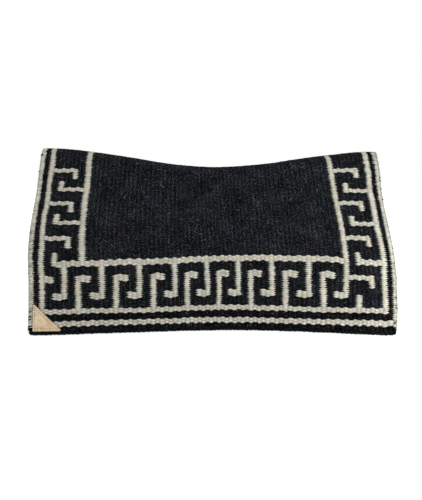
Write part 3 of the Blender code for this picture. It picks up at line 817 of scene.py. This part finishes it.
def wool_material(name, dark, light, shares, span, fleck, fleck_from, dye, rib_shade):
    """Hand-spun wool yarn: fibres along the weft, mottled by its spinning, with flecks of other wool.

    shares says how much of the shade goes by bead, fibre, mottle, streak and cloud, and span how far
    the sum of these must be off its middle for the dark and for the light yarn. dye is how unevenly
    the wool took its dye, in cool and warm clouds, and the rib shade says how much paler each rib is
    painted along its crest, and darker at its edges, as painted light and shade. The grooves round
    the beads are painted darker, as painted shade.
    """
    finish, add = new_finish(name)
    place = add("UVMap", uv_map="yarn")
    tone, deep, rib = [add("Attribute", output="Fac", attribute_name=mark)
                       for mark in ("tone", "deep", "rib")]
    slant = add("Mapping", {"Vector": place, "Rotation": (0, 0, math.radians(16)),
                            "Scale": (260, 1500, 1)})
    fibres = add("TexNoise", {"Vector": slant, "Scale": 1, "Detail": 3, "Roughness": 0.6})
    mottle = add("TexNoise", {"Vector": place, "Scale": 300, "Detail": 2, "Roughness": 0.6})
    upright = add("Mapping", {"Vector": place, "Scale": (260, 26, 1)})
    streaks = add("TexNoise", {"Vector": upright, "Scale": 1, "Detail": 1})
    clouds = add("TexNoise", {"Vector": place, "Scale": 22, "Detail": 2})
    total = 0.0
    for source, share in zip((tone, fibres, mottle, streaks, clouds), shares):
        off_middle = add("Math", {0: source, 1: 0.5}, operation="SUBTRACT")
        total = add("Math", {0: off_middle, 1: share, 2: total}, operation="MULTIPLY_ADD")
    shade = add("MapRange", {"Value": total, "From Min": span[0], "From Max": span[1]})
    dyed = add("TexNoise", {"Vector": place, "Scale": 31, "Detail": 2, "Roughness": 0.6})
    dyed = add("MapRange", {"Value": dyed, "From Min": 0.36, "From Max": 0.64,
                            "To Min": 0.5 - dye / 2, "To Max": 0.5 + dye / 2})
    colour = mixed(add, 1, mixed(add, shade, dark, light), mixed(add, dyed, COOL_DYE, WARM_DYE),
                   blend_type="MULTIPLY")
    hairs = add("TexNoise", {"Vector": place, "Scale": 620, "Detail": 1})
    hairs = add("MapRange", {"Value": hairs, "From Min": fleck_from, "From Max": fleck_from + 0.1})
    colour = mixed(add, hairs, colour, fleck)
    # Painted shade: the colour is drawn darker in the grooves round the beads; across each rib it is
    # painted lighter on the crest and darker at the edges, as painted light and shade
    groove = add("MapRange", {"Value": deep, "From Min": 0.45, "To Min": 1, "To Max": GROOVE_SHADE})
    crest = add("Math", {0: rib, 1: 0.5}, operation="PINGPONG")
    crest = add("MapRange", {"Value": crest, "From Max": 0.5, "To Min": 1 - rib_shade,
                             "To Max": 1 + rib_shade}, interpolation_type="SMOOTHSTEP")
    painted_shading = add("Math", {0: groove, 1: crest}, operation="MULTIPLY")
    colour = add("VectorMath", {0: colour, "Scale": painted_shading}, operation="SCALE")
    return surfaced(finish, add, colour, (fibres, 0.8, 1), (fibres, 0.6, 0.0004), gloss=0.02)


BLACK_WOOL = wool_material(
    "black_weft", (0.0008, 0.0011, 0.0016), (0.089, 0.101, 0.119), shares=(0.1, 0.5, 1.8, 0.25, 0.35),
    span=(-0.1, 0.8), fleck=(0.14, 0.14, 0.14), fleck_from=0.69, dye=1, rib_shade=0.22)
KEY_BLACK_WOOL = wool_material(
    "black_key_weft", (0.0007, 0.0010, 0.0014), (0.072, 0.080, 0.093), shares=(0.1, 0.5, 1.9, 0.25, 0.3),
    span=(-0.1, 0.8), fleck=(0.12, 0.12, 0.12), fleck_from=0.69, dye=1, rib_shade=0.22)
DEEP_BLACK_WOOL = wool_material(
    "deep_black_weft", (0.0005, 0.0006, 0.0008), (0.046, 0.049, 0.058), shares=(0.2, 0.5, 1.9, 0.35, 0.3),
    span=(-0.1, 0.9), fleck=(0.08, 0.08, 0.08), fleck_from=0.70, dye=1, rib_shade=0.25)
PALE_WOOL = wool_material(
    "pale_weft", (0.385, 0.37, 0.305), (0.635, 0.615, 0.53), shares=(0.5, 0.6, 1.2, 0.3, 0.5),
    span=(-0.5, 0.5), fleck=(0.74, 0.72, 0.64), fleck_from=0.72, dye=0.3, rib_shade=0)
EDGE_WOOL = wool_material(
    "pale_edge_weft", (0.21, 0.215, 0.185), (0.69, 0.69, 0.595), shares=(0.5, 0.7, 1.8, 0.3, 0.5),
    span=(-0.5, 0.5), fleck=(0.74, 0.74, 0.68), fleck_from=0.72, dye=0.2, rib_shade=0)
# In the order of AREAS
FINISHES = (BLACK_WOOL, PALE_WOOL, KEY_BLACK_WOOL, PALE_WOOL, DEEP_BLACK_WOOL, PALE_WOOL,
            DEEP_BLACK_WOOL)
DOWN_THE_END = WOVEN_HALF - FRONT_BAND_WIDTH


def mark_yarn(piece, flat, tones, deep, ribs):
    """Lay the yarn map, the beads' tones, the grooves, which carry the painted groove shade, and the
    count of ribs, which carries the painted light and shade across each rib, on a piece of yarn.
    """
    mesh = piece.data
    corner = np.zeros(len(mesh.loops), np.int32)
    mesh.loops.foreach_get("vertex_index", corner)
    mesh.uv_layers.new(name="yarn").uv.foreach_set("vector", flat[corner].astype(np.float32).ravel())
    for name, domain, values in (("tone", "FACE", tones), ("deep", "POINT", deep), ("rib", "POINT", ribs)):
        mark = mesh.attributes.new(name, "FLOAT", domain)
        mark.data.foreach_set("value", np.asarray(values, np.float32))


def add_cover(side, seed):
    """One woven half. The edge band is of a more mottled wool down the ends than along the hem."""
    weave = Weave(seed)
    for kind, area in enumerate(AREAS):
        flat, faces, tones, deep = weave.piece(kind)
        slot = "pale_wool" if kind in PALE_AREAS else "black_wool"
        piece = add_piece(f"{side}_{area}_yarn", *on_side(side, over_arch(flat), faces), FINISHES[kind],
                          slot, f"{side}_{area}_weave")
        ribs = np.interp(flat[:, 0], RIB_X, np.arange(len(RIB_X)))
        mark_yarn(piece, flat[:, :2], tones, deep, ribs)
        if kind == BAND:
            away = np.array([abs(flat[list(face), 0].mean()) for face in faces])
            piece.data.materials.append(EDGE_WOOL)
            piece.data.polygons.foreach_set("material_index", (away > DOWN_THE_END).astype(np.int32))
        if kind == FIELD:
            outline = flat[[face for face in faces if len(face) == 8], :2]
            x, v = outline[:, :, 0], outline[:, :, 1]
            woven = float(abs(np.sum(x * np.roll(v, -1, 1) - np.roll(x, -1, 1) * v)) / 2)
            width, drop = np.ptp(flat[:, :2], axis=0).tolist()


add_cover("near", 11)
add_cover("off", 12)


# Edge cords
# The last black picks are packed round a cord, so each hem ends in a ribbed roll. A fine three-ply
# twist of grey yarn binds each selvedge.

HEM_HALF_UP = 0.0044
HEM_HALF_DEEP = 0.0046
HEM_RIB_DEPTH = 0.0011
HEM_BEAD_DEPTH = 0.0003
HEM_RIB_UNEVEN = 0.0010
HEM_SPREAD = 0.00012
HEM_SIDES = 26
HEM_STEPS = 6
HEM_MIDDLE_UP = 0.00485
HEM_MIDDLE_HEIGHT = -0.0020
HEM_END_IN = 0.0028
HEM_END_REACH = 0.011
HEM_END_RISE = 0.0034
HEM_END_SHARE = 0.35
SELVEDGE_PLIES = 3
SELVEDGE_PLY_RADIUS = 0.00135
SELVEDGE_TWIST_ACROSS = 0.0006
SELVEDGE_TWIST_DEEP = 0.0021
SELVEDGE_TWIST_PITCH = 0.010
SELVEDGE_UNEVEN = (0.05, 0.0008)
SELVEDGE_STEPS = 14
SELVEDGE_SIDES = 8
CORD_GAP = 2 * CLEARANCE
TAPER_POINTS = 3
TAPER_START = 0.3

# Each strand's place on the yarn map and its tone, and the rib count at which the ribs' painted light and
# shade leave the colour as it is
STRAND_APART = 0.37
FIRST_TONE = 0.2
TONE_STEP = 0.31
UNSHADED_RIB = 0.25


def helix(along, pitch, across, deep, phase):
    """Places of one strand beside its cord's middle line, across it and out of the face."""
    turn = math.tau * along / pitch + phase
    return across * np.cos(turn), deep * np.sin(turn)


def strand(bend, middle, path, radius, sides):
    """A tube along a strand of a twist. The seam of its yarn map is on the twist's inner side."""
    line = bend(path)
    points, faces = sweep(line, bend(middle) - line, radius, sides)
    along = np.concatenate([[0], np.cumsum(np.linalg.norm(np.diff(line, axis=0), axis=1))])
    round_it = math.tau * np.arange(sides) / sides * np.max(radius)
    flat = np.stack(np.broadcast_arrays(along[:, None], round_it[None]), -1).reshape(-1, 2)
    return points, faces, flat


def add_strands(name, side, strands, finish, slot, *nodes):
    """Strands as one piece, with the yarn map and a tone for each strand."""
    points, faces = joined([found[:2] for found in strands])
    flat = np.concatenate([found[2] + (STRAND_APART * i, 0) for i, found in enumerate(strands)])
    tones = np.concatenate([np.full(len(found[1]), (FIRST_TONE + TONE_STEP * i) % 1)
                            for i, found in enumerate(strands)])
    piece = add_piece(name, *on_side(side, points, faces), finish, slot, *nodes)
    mark_yarn(piece, flat, tones, np.zeros(len(flat)), np.full(len(flat), UNSHADED_RIB))


def tapered(count, radius):
    """A strand's radius along its points, drawn in over a few points at both ends."""
    from_end = np.minimum(np.arange(count), np.arange(count)[::-1])
    return radius * np.sqrt(np.minimum((from_end + TAPER_START) / TAPER_POINTS, 1))


def add_hem_roll(side, rng):
    """The hem's round edge: a ring of points at each step along the ribs, swollen over each bead."""
    reach = HALF_LENGTH - HEM_END_IN
    share = np.linspace(0, RIB_COUNT, RIB_COUNT * HEM_STEPS + 1)
    x = np.interp(share, np.arange(RIB_COUNT + 1), RIB_X) * reach / RIB_X[-1]
    near_end = np.clip(1 - (reach - np.abs(x)) / HEM_END_REACH, 0, 1)
    full = np.sqrt(1 - near_end ** 2)
    turn = math.tau * np.arange(HEM_SIDES) / HEM_SIDES
    rib = np.minimum(share.astype(int), RIB_COUNT - 1)
    bead = (turn[None, :] * HEM_HALF_UP / PICK_PITCH + rib[:, None]) / 2
    sunk = HEM_RIB_DEPTH * np.abs(np.cos(np.pi * (share - rib)))[:, None] ** 6
    sunk = sunk + HEM_BEAD_DEPTH * np.abs(np.cos(np.pi * bead)) ** 4
    sunk = sunk + rng.uniform(0, HEM_RIB_UNEVEN, RIB_COUNT)[rib][:, None]
    sunk = sunk + rng.normal(0, HEM_SPREAD, sunk.shape)
    size = (HEM_END_SHARE + (1 - HEM_END_SHARE) * full)[:, None]
    up = HEM_MIDDLE_UP + HEM_END_RISE * (1 - full)[:, None] + size * (HEM_HALF_UP - sunk) * np.cos(turn)
    height = HEM_MIDDLE_HEIGHT + size * (HEM_HALF_DEEP - sunk) * np.sin(turn)
    flat = np.stack(np.broadcast_arrays(x[:, None], up, height), -1).reshape(-1, 3)
    index = np.arange(len(flat)).reshape(-1, HEM_SIDES)
    after = np.roll(index, -1, axis=1)
    walls = np.stack([index[:-1], index[1:], after[1:], after[:-1]], -1).reshape(-1, 4).tolist()
    faces = walls + [index[0].tolist(), index[-1, ::-1].tolist()]
    roll = add_piece(side + "_hem_roll", *on_side(side, over_arch(flat), faces), DEEP_BLACK_WOOL,
                     "black_wool", side + "_hem_cord")
    round_it = np.broadcast_to(HEM_HALF_UP * turn, index.shape)
    yarn = np.stack([np.broadcast_to(x[:, None], index.shape), round_it], -1).reshape(-1, 2)
    tones = rng.random((RIB_COUNT, HEM_SIDES))[rib[:-1]].ravel().tolist() + [0.5, 0.5]
    deep = np.clip(sunk / HEM_RIB_DEPTH, 0, 1).ravel()
    mark_yarn(roll, yarn, tones, deep, np.broadcast_to(share[:, None], index.shape).ravel())


def add_selvedge_twist(side, end, towards, rng):
    """The twist that binds one end: its plies wind round the same middle line, a third of a turn apart."""
    x = towards * (HALF_LENGTH - SELVEDGE_WIDTH / 2)
    low = HEM_CORD_TOP + CORD_GAP + SELVEDGE_PLY_RADIUS
    high = half_drop(x) - LACING_WIDTH / 2 - SELVEDGE_PLY_RADIUS
    v = np.append(np.arange(low, high, SELVEDGE_TWIST_PITCH / SELVEDGE_STEPS), high)
    middle = np.column_stack([np.full(len(v), x), v, np.full(len(v), -WEAVE_THICKNESS / 2)])
    strands = []
    for i in range(SELVEDGE_PLIES):
        across, deep = helix(v + uneven(rng, v, 0, *SELVEDGE_UNEVEN), SELVEDGE_TWIST_PITCH,
                             SELVEDGE_TWIST_ACROSS, SELVEDGE_TWIST_DEEP, math.tau * i / SELVEDGE_PLIES)
        path = middle + np.column_stack([across, 0 * v, deep])
        radius = tapered(len(v), SELVEDGE_PLY_RADIUS)
        strands.append(strand(over_arch, middle, path, radius, SELVEDGE_SIDES))
    add_strands(f"{side}_{end}_selvedge_twist", side, strands, EDGE_WOOL, "pale_wool",
                f"{side}_{end}_selvedge_cord")


for side, seed in (("near", 21), ("off", 22)):
    rng = np.random.default_rng(seed)
    add_hem_roll(side, rng)
    add_selvedge_twist(side, "front", -1, rng)
    add_selvedge_twist(side, "rear", 1, rng)


# Spine lacing
# Dark yarn whipped over and over along the butted spine edges of the two halves, pulled tight, so
# that it lies as a close coil in the seam.

LACING_PITCH = 0.0033
LACING_YARN_RADIUS = 0.0013
LACING_ACROSS = 0.0024
LACING_DEEP = 0.0021
LACING_UNEVEN = (0.03, 0.0003)
LACING_STEPS = 12
LACING_SIDES = 6


def add_lacing():
    rng = np.random.default_rng(31)
    reach = HALF_LENGTH - CORD_GAP - LACING_YARN_RADIUS
    x = np.arange(-reach, reach, LACING_PITCH / LACING_STEPS)
    middle = np.column_stack([x, 0 * x, np.full(len(x), -WEAVE_THICKNESS / 2)])
    along = x + uneven(rng, x, 0, *LACING_UNEVEN)
    across, deep = helix(along, LACING_PITCH, LACING_ACROSS, LACING_DEEP, 0)
    path = middle + np.column_stack([0 * x, across, deep])
    coil = strand(over_spine, middle, path, tapered(len(x), LACING_YARN_RADIUS), LACING_SIDES)
    add_strands("spine_lacing_coil", "near", [coil], DEEP_BLACK_WOOL, "black_wool", "spine_lacing_yarn")


add_lacing()


# Selvedge turns
# Ends of dark weft carried up the selvedges, sewn over them in single slanting turns. Elsewhere the
# same weft only shows between the pale picks.

# Each turn: place up from the hem, reach inwards, drop outwards, radius of its yarn
FRONT_TURNS = ((0.0170, 0.008, 0.001, 0.0019), (0.022, 0.009, 0.002, 0.0013),
               (0.038, 0.008, 0.001, 0.0012), (0.0445, 0.008, 0.002, 0.0014),
               (0.056, 0.008, 0.001, 0.0012), (0.146, 0.003, 0.001, 0.0009),
               (0.262, 0.0025, 0.001, 0.0008), (0.431, 0.0035, 0.001, 0.0012),
               (0.480, 0.0050, 0.004, 0.0017))
REAR_TURNS = ((0.134, 0.0025, 0.001, 0.0008), (0.205, 0.0030, 0.001, 0.0009),
              (0.343, 0.0035, 0.001, 0.0010), (0.376, 0.0035, 0.001, 0.0010),
              (0.401, 0.0035, 0.001, 0.0012), (0.411, 0.0035, 0.001, 0.0010))
# A turn's points: shares of its reach inside the weave, then places round the end of the cloth
TURN_INSIDE_SHARES = np.array([1, 0.97, 0.8, 0.5, 0.2])
TURN_ROUND = (-0.0021, -0.0016, -0.0016, -0.0018, -0.0020)
TURN_HEIGHTS = (-0.0018, -0.0004, 0.0002, 0.0003, 0.0002, -0.0006, -0.0022, -0.0050, -0.0064, -0.0066)
TURN_MIDDLE_IN = 0.001
TURN_MIDDLE_HEIGHT = -0.0045
TURN_SIDES = 7
# Each weft that shows between the picks: how far in from the end, place up, radius of its yarn
FRONT_PEEKS = ((0.0045, 0.129, 0.0009), (0.0066, 0.162, 0.0010), (0.0068, 0.203, 0.0010),
               (0.0050, 0.223, 0.0008), (0.0045, 0.247, 0.0012))
REAR_PEEKS = ((0.0046, 0.0290, 0.0016), (0.0028, 0.0330, 0.0011), (0.0032, 0.0625, 0.0014),
              (0.0034, 0.0690, 0.0008), (0.0034, 0.0870, 0.0013), (0.0046, 0.1630, 0.0009),
              (0.0034, 0.1680, 0.0009))
# Its points: how far they lie either way of its middle, and their heights off the face
PEEK_REACH = 0.0014 * np.array([-1, -0.6, 0, 0.6, 1])
PEEK_HEIGHTS = (-0.0020, -0.0001, 0.0003, -0.0001, -0.0020)
PEEK_MIDDLE_DROP = 0.004
PEEK_SIDES = 6


def selvedge_turn(towards, up, reach_in, drop, radius):
    """One turn: out of the weave, over its face, round the outside and back in behind."""
    across = np.concatenate([-reach_in * TURN_INSIDE_SHARES, TURN_ROUND])
    share = (across - across[0]) / (across.max() - across[0])
    path = np.column_stack([towards * (HALF_LENGTH + across), up + drop * (0.5 - share), TURN_HEIGHTS])
    middle = path - (towards * TURN_MIDDLE_IN, 0, 0)
    middle[:, 2] = TURN_MIDDLE_HEIGHT
    return strand(over_arch, middle, path, radius, TURN_SIDES)


def peek(towards, inside, up, radius):
    """One weft that shows: up out of the weave and back in, beside its neighbours."""
    across = towards * (HALF_LENGTH - inside + PEEK_REACH)
    path = np.column_stack([across, np.full(len(across), up), PEEK_HEIGHTS])
    return strand(over_arch, path - (0, 0, PEEK_MIDDLE_DROP), path, radius, PEEK_SIDES)


for side in ("near", "off"):
    turns = [selvedge_turn(-1, *turn) for turn in FRONT_TURNS]
    turns += [selvedge_turn(1, *turn) for turn in REAR_TURNS]
    turns += [peek(-1, *place) for place in FRONT_PEEKS]
    turns += [peek(1, *place) for place in REAR_PEEKS]
    add_strands(side + "_selvedge_turns", side, turns, DEEP_BLACK_WOOL, "black_wool")


# Stray fibres
# Loose ends of grey wool that stand out of the yarn all over, a few spun into small knots, and a
# soft fringe of them along the selvedges.

FIBRE_COUNT = 380
KNOT_COUNT = 26
FRINGE_COUNT = 150
FIBRE_RADIUS = 0.00016
FIBRE_RADIUS_SHARES = (0.6, 1.3)
FIBRE_LENGTHS = (0.004, 0.013)
KNOT_RADII = (0.0003, 0.0005)
KNOT_LENGTHS = (0.001, 0.002)
FRINGE_LENGTHS = (0.0015, 0.0035)
FIBRE_RISES = (0, 0.0006)
FRINGE_RISE = 0.0003
FIBRE_ROOT_HEIGHT = -0.0006
FIBRE_ARCH_HEIGHT = 0.0009
FIBRE_ARCHES = (1.6, 3.0)
FIBRE_BEND = 1.1
FIBRE_CURL = 0.8
FIBRE_THINNING = 0.6
FIBRE_POINTS = 6
FIBRE_SIDES = 3
FRINGE_SPREAD = 0.7
# How far the fibres keep away from the ends, the hem and the lacing, and the fringe from its own ends
FIBRE_END_GAP = 0.006
FIBRE_FOOT_GAP = 0.004
FIBRE_TOP_GAP = 0.012
FRINGE_TOP_GAP = 0.02
FRINGE_INSET = 0.001


def fibre(rng, start, direction, length, rise, radius):
    """One hair: it leaves the yarn at its start, bends at random and lies close to the cloth."""
    share = np.linspace(0, 1, FIBRE_POINTS)
    turn = direction + rng.normal(0, FIBRE_BEND) * share + rng.normal(0, FIBRE_CURL) * share ** 2
    step = length / (FIBRE_POINTS - 1)
    x = start[0] + np.concatenate([[0], np.cumsum(step * np.cos(turn[1:]))])
    v = start[1] + np.concatenate([[0], np.cumsum(step * np.sin(turn[1:]))])
    arch = np.sin(share * rng.uniform(*FIBRE_ARCHES))
    height = FIBRE_ROOT_HEIGHT + (FIBRE_ARCH_HEIGHT + rise) * arch
    path = over_arch(np.column_stack([x, v, height]))
    return sweep(path, (0.2, 0.3, 1), radius * (1 - FIBRE_THINNING * share), FIBRE_SIDES)


def add_fibres(side, seed):
    """Fibres and knots all over one side, and its fringe, as one piece."""
    rng = np.random.default_rng(seed)
    hairs = []
    low, high = HEM_CORD_TOP + FIBRE_FOOT_GAP, MIDDLE_DROP - FIBRE_TOP_GAP
    end = WOVEN_HALF - FIBRE_END_GAP
    for i in range(FIBRE_COUNT + KNOT_COUNT):
        x = rng.uniform(-end, end)
        v = rng.uniform(low, high + float(half_drop(x)) - MIDDLE_DROP)
        knot = i >= FIBRE_COUNT
        length = rng.uniform(*(KNOT_LENGTHS if knot else FIBRE_LENGTHS))
        radius = rng.uniform(*KNOT_RADII) if knot else FIBRE_RADIUS * rng.uniform(*FIBRE_RADIUS_SHARES)
        direction = rng.uniform(0, math.tau)
        hairs.append(fibre(rng, (x, v), direction, length, rng.uniform(*FIBRE_RISES), radius))
    for i in range(FRINGE_COUNT):
        towards = rng.choice((-1, 1))
        x = towards * (HALF_LENGTH - FRINGE_INSET)
        v = rng.uniform(low, high + FRONT_RISE - FRINGE_TOP_GAP)
        direction = rng.normal(0, FRINGE_SPREAD) + (0 if towards > 0 else math.pi)
        length = rng.uniform(*FRINGE_LENGTHS)
        hairs.append(fibre(rng, (x, v), direction, length, FRINGE_RISE, FIBRE_RADIUS))
    add_piece(side + "_stray_fibres", *on_side(side, *joined(hairs)), STRAY_WOOL, "pale_wool")


STRAY_WOOL = thread_material("stray_grey_wool", (0.19, 0.195, 0.19), (0.64, 0.66, 0.65))
add_fibres("near", 51)
add_fibres("off", 52)


# Corner patch
# A triangle of vegetable-tanned leather on the lower front corner of the near side, left blank. It
# is cut with a sharp knife, laid on the weave and sewn down along its three sides with waxed thread,
# which pulls a dimple into the leather at each hole.

PATCH_RIGHT = -0.3545
PATCH_WIDTH = 0.065
PATCH_HEIGHT = 0.062
PATCH_LEFT = PATCH_RIGHT - PATCH_WIDTH
PATCH_SLOPE = math.hypot(PATCH_WIDTH, PATCH_HEIGHT)
PATCH_FOOT_GAP = 0.0025
PATCH_FOOT = HEM_CORD_TOP + PATCH_FOOT_GAP
PATCH_TOP = PATCH_FOOT + PATCH_HEIGHT
PATCH_THICKNESS = 0.0025
PATCH_LIFT = 0.0003
PATCH_GRID_CUTS = 52
PATCH_CORNER_CUT = 0.0007
PATCH_EDGE_ROUNDING = 0.0005
PATCH_EDGE_DROP = 0.0004
PATCH_EDGE_REACH = 0.003
PATCH_UNEVEN = (0.035, 0.00015)
HOLE_PITCH = 0.0072
HOLE_RADIUS = 0.0013
HOLE_DEPTH = 0.0012
SEAM_DEPTH = 0.00035
SEAM_REACH = 0.0012
SKIVE = 0.0017
SKIVE_REACH = 0.0006
HOLE_INSET_FOOT = 0.0055
HOLE_INSET_SIDE = 0.0040
HOLE_INSET_SLOPE = 0.0042
# How far each row of holes stops short of the patch's points
FOOT_ROW_END = 0.009
SIDE_ROW_END = 0.008
SLOPE_ROW_START = 0.0085
SLOPE_ROW_END = 0.012
# A thread's points between two holes, as shares of the way, and their heights off the seam
WAXED_THREAD_SHARES = np.array([0.12, 0.17, 0.26, 0.5, 0.74, 0.83, 0.88])
WAXED_THREAD_HEIGHTS = np.array([-0.0012, -0.0004, 0.0, 0.0001, 0.0, -0.0004, -0.0012])
WAXED_THREAD_RADIUS = 0.00045


def patch_holes():
    """Flat places of the stitch holes, side by side with the three edges."""
    along = np.array([PATCH_WIDTH, -PATCH_HEIGHT]) / PATCH_SLOPE
    inward = np.array([along[1], -along[0]])
    first = np.array([PATCH_LEFT, PATCH_TOP]) + inward * HOLE_INSET_SLOPE
    column, row = PATCH_LEFT + HOLE_INSET_SIDE, PATCH_FOOT + HOLE_INSET_FOOT
    foot = [(x, row) for x in np.arange(column, PATCH_RIGHT - FOOT_ROW_END, HOLE_PITCH)]
    side = [(column, v) for v in np.arange(row, PATCH_TOP - SIDE_ROW_END, HOLE_PITCH)]
    slope = [tuple(first + along * reach)
             for reach in np.arange(SLOPE_ROW_START, PATCH_SLOPE - SLOPE_ROW_END, HOLE_PITCH)]
    return foot, side, slope


def cut_patch():
    """The flat blank: a gridded sheet, cut along its slope, with its three points blunted."""
    bpy.ops.object.select_all(action="DESELECT")
    bpy.ops.mesh.primitive_plane_add(size=1, location=(0, 0, 0))
    blank = bpy.context.object
    blank.name = "corner_patch_leather"
    bpy.ops.object.mode_set(mode="EDIT")
    bpy.ops.mesh.select_all(action="SELECT")
    bpy.ops.transform.resize(value=(PATCH_WIDTH, PATCH_HEIGHT, 1))
    bpy.ops.transform.translate(value=(PATCH_LEFT + PATCH_WIDTH / 2, PATCH_FOOT + PATCH_HEIGHT / 2, 0))
    bpy.ops.mesh.subdivide(number_cuts=PATCH_GRID_CUTS)
    for place, outward in (((PATCH_LEFT, PATCH_TOP, 0), (PATCH_HEIGHT, PATCH_WIDTH, 0)),
                           ((PATCH_LEFT, PATCH_TOP - 2 * PATCH_CORNER_CUT, 0), (0, 1, 0)),
                           ((PATCH_RIGHT - 2 * PATCH_CORNER_CUT, 0, 0), (1, 0, 0)),
                           ((PATCH_LEFT + PATCH_CORNER_CUT, PATCH_FOOT, 0), (-1, -1, 0))):
        bpy.ops.mesh.select_all(action="SELECT")
        bpy.ops.mesh.bisect(plane_co=place, plane_no=outward, clear_outer=True)
    bpy.ops.object.mode_set(mode="OBJECT")
    return blank


def leather_material():
    """Smooth tan grain leather: soft darker clouds, fine pores, painted shade in the hole dimples and a
    painted shadow along the skived cut edge, a light wax shine."""
    finish, add = new_finish("tan_grain_leather")
    place = add("TexCoord", output="Object")
    painted_shading = add("Attribute", output="Fac", attribute_name="painted_shading")
    clouds = add("TexNoise", {"Vector": place, "Scale": 75, "Detail": 3, "Roughness": 0.55})
    clouds = add("MapRange", {"Value": clouds, "From Min": 0.38, "From Max": 0.60})
    colour = mixed(add, clouds, (0.54, 0.405, 0.255), (0.745, 0.60, 0.41))
    pores = add("TexNoise", {"Vector": place, "Scale": 1300, "Detail": 3})
    speck = add("MapRange", {"Value": pores, "From Min": 0.34, "From Max": 0.5})
    colour = mixed(add, speck, (0.50, 0.355, 0.215), colour)
    # Painted shade in the hole dimples and painted shadow along the skived edges: the colour is drawn
    # towards dark brown
    colour = mixed(add, painted_shading, colour, (0.20, 0.115, 0.06))
    grain = add("TexVoronoi", {"Vector": place, "Scale": 900})
    height = add("Math", {0: pores, 1: grain}, operation="ADD")
    return surfaced(finish, add, colour, (clouds, 0.42, 0.58), (height, 0.25, 0.0003), gloss=0.35)


def press_leather(flat):
    """Raise the blank's flat points onto the weave, press in its holes and seams and skive its edges.

    Returns how dark each point is painted: painted shade in the hole dimples and a painted shadow along
    the skived edges.
    """
    rng = np.random.default_rng(41)
    x, v = flat[:, 0].copy(), flat[:, 1].copy()
    inside_slope = ((PATCH_LEFT - x) * PATCH_HEIGHT + (PATCH_TOP - v) * PATCH_WIDTH) / PATCH_SLOPE
    inside = np.minimum.reduce([inside_slope, x - PATCH_LEFT, v - PATCH_FOOT])
    top = flat[:, 2] > PATCH_THICKNESS / 2
    painted_shading = np.zeros(len(flat))
    # Painted shade in each hole's dimple, strongest at its middle
    for row in patch_holes():
        for hole in row:
            away = np.hypot(x - hole[0], v - hole[1])
            painted_shading = np.maximum(painted_shading, np.exp(-(away / HOLE_RADIUS) ** 2))
    seam = np.minimum.reduce([np.abs(inside_slope - HOLE_INSET_SLOPE),
                              np.abs(x - PATCH_LEFT - HOLE_INSET_SIDE),
                              np.abs(v - PATCH_FOOT - HOLE_INSET_FOOT)])
    press = HOLE_DEPTH * painted_shading + SEAM_DEPTH * np.exp(-(seam / SEAM_REACH) ** 2)
    press += PATCH_EDGE_DROP * np.exp(-np.maximum(inside, 0) / PATCH_EDGE_REACH)
    flat[:, 2] += PATCH_LIFT + np.where(top, uneven(rng, x, v, *PATCH_UNEVEN) - press, 0)
    painted_shading *= top
    # The skived rim along the slope and the foot is pushed out and painted fully dark, as a painted shadow
    # under the patch's edge
    for skived, outward in ((~top & (inside_slope < SKIVE_REACH), (PATCH_HEIGHT, PATCH_WIDTH)),
                            (~top & (v - PATCH_FOOT < SKIVE_REACH), (0, -1))):
        flat[skived, :2] += SKIVE * np.array(outward) / math.hypot(*outward)
        painted_shading[skived] = 1
    return painted_shading


def add_patch():
    patch = cut_patch()
    thickness = patch.modifiers.new("thickness", "SOLIDIFY")
    thickness.thickness = PATCH_THICKNESS
    thickness.offset = 1
    rounding = patch.modifiers.new("rounding", "BEVEL")
    rounding.width = PATCH_EDGE_ROUNDING
    rounding.segments = 2
    rounding.limit_method = "ANGLE"
    bpy.ops.object.modifier_apply(modifier=thickness.name)
    bpy.ops.object.modifier_apply(modifier=rounding.name)
    mesh = patch.data
    flat = np.zeros(len(mesh.vertices) * 3, np.float32)
    mesh.vertices.foreach_get("co", flat)
    flat = flat.reshape(-1, 3).astype(float)
    painted_shading = press_leather(flat)
    mesh.vertices.foreach_set("co", over_arch(flat).astype(np.float32).ravel())
    # The painted shade and shadow go to the finish as a point attribute
    darkened = mesh.attributes.new("painted_shading", "FLOAT", "POINT")
    darkened.data.foreach_set("value", painted_shading.astype(np.float32))
    mesh.materials.append(leather_material())
    mesh.update()
    mesh.shade_smooth()
    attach(patch, "root")
    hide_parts("corner_patch")
    bpy.ops.object.select_all(action="DESELECT")


def add_patch_thread():
    """Thread from hole to hole along each row, sunk in its seam and down through each hole."""
    height = PATCH_LIFT + PATCH_THICKNESS - SEAM_DEPTH + WAXED_THREAD_HEIGHTS
    runs = []
    for row in patch_holes():
        for start, end in zip(np.array(row[:-1]), np.array(row[1:])):
            run = np.column_stack([start + (end - start) * WAXED_THREAD_SHARES[:, None], height])
            runs.append(sweep(over_arch(run), (0, -1, 0.2), WAXED_THREAD_RADIUS, THREAD_SIDES))
    finish = thread_material("waxed_linen_thread", (0.50, 0.37, 0.23), (0.68, 0.53, 0.35))
    add_piece("corner_patch_thread", *joined(runs), finish, "tan_leather")


add_patch()
add_patch_thread()
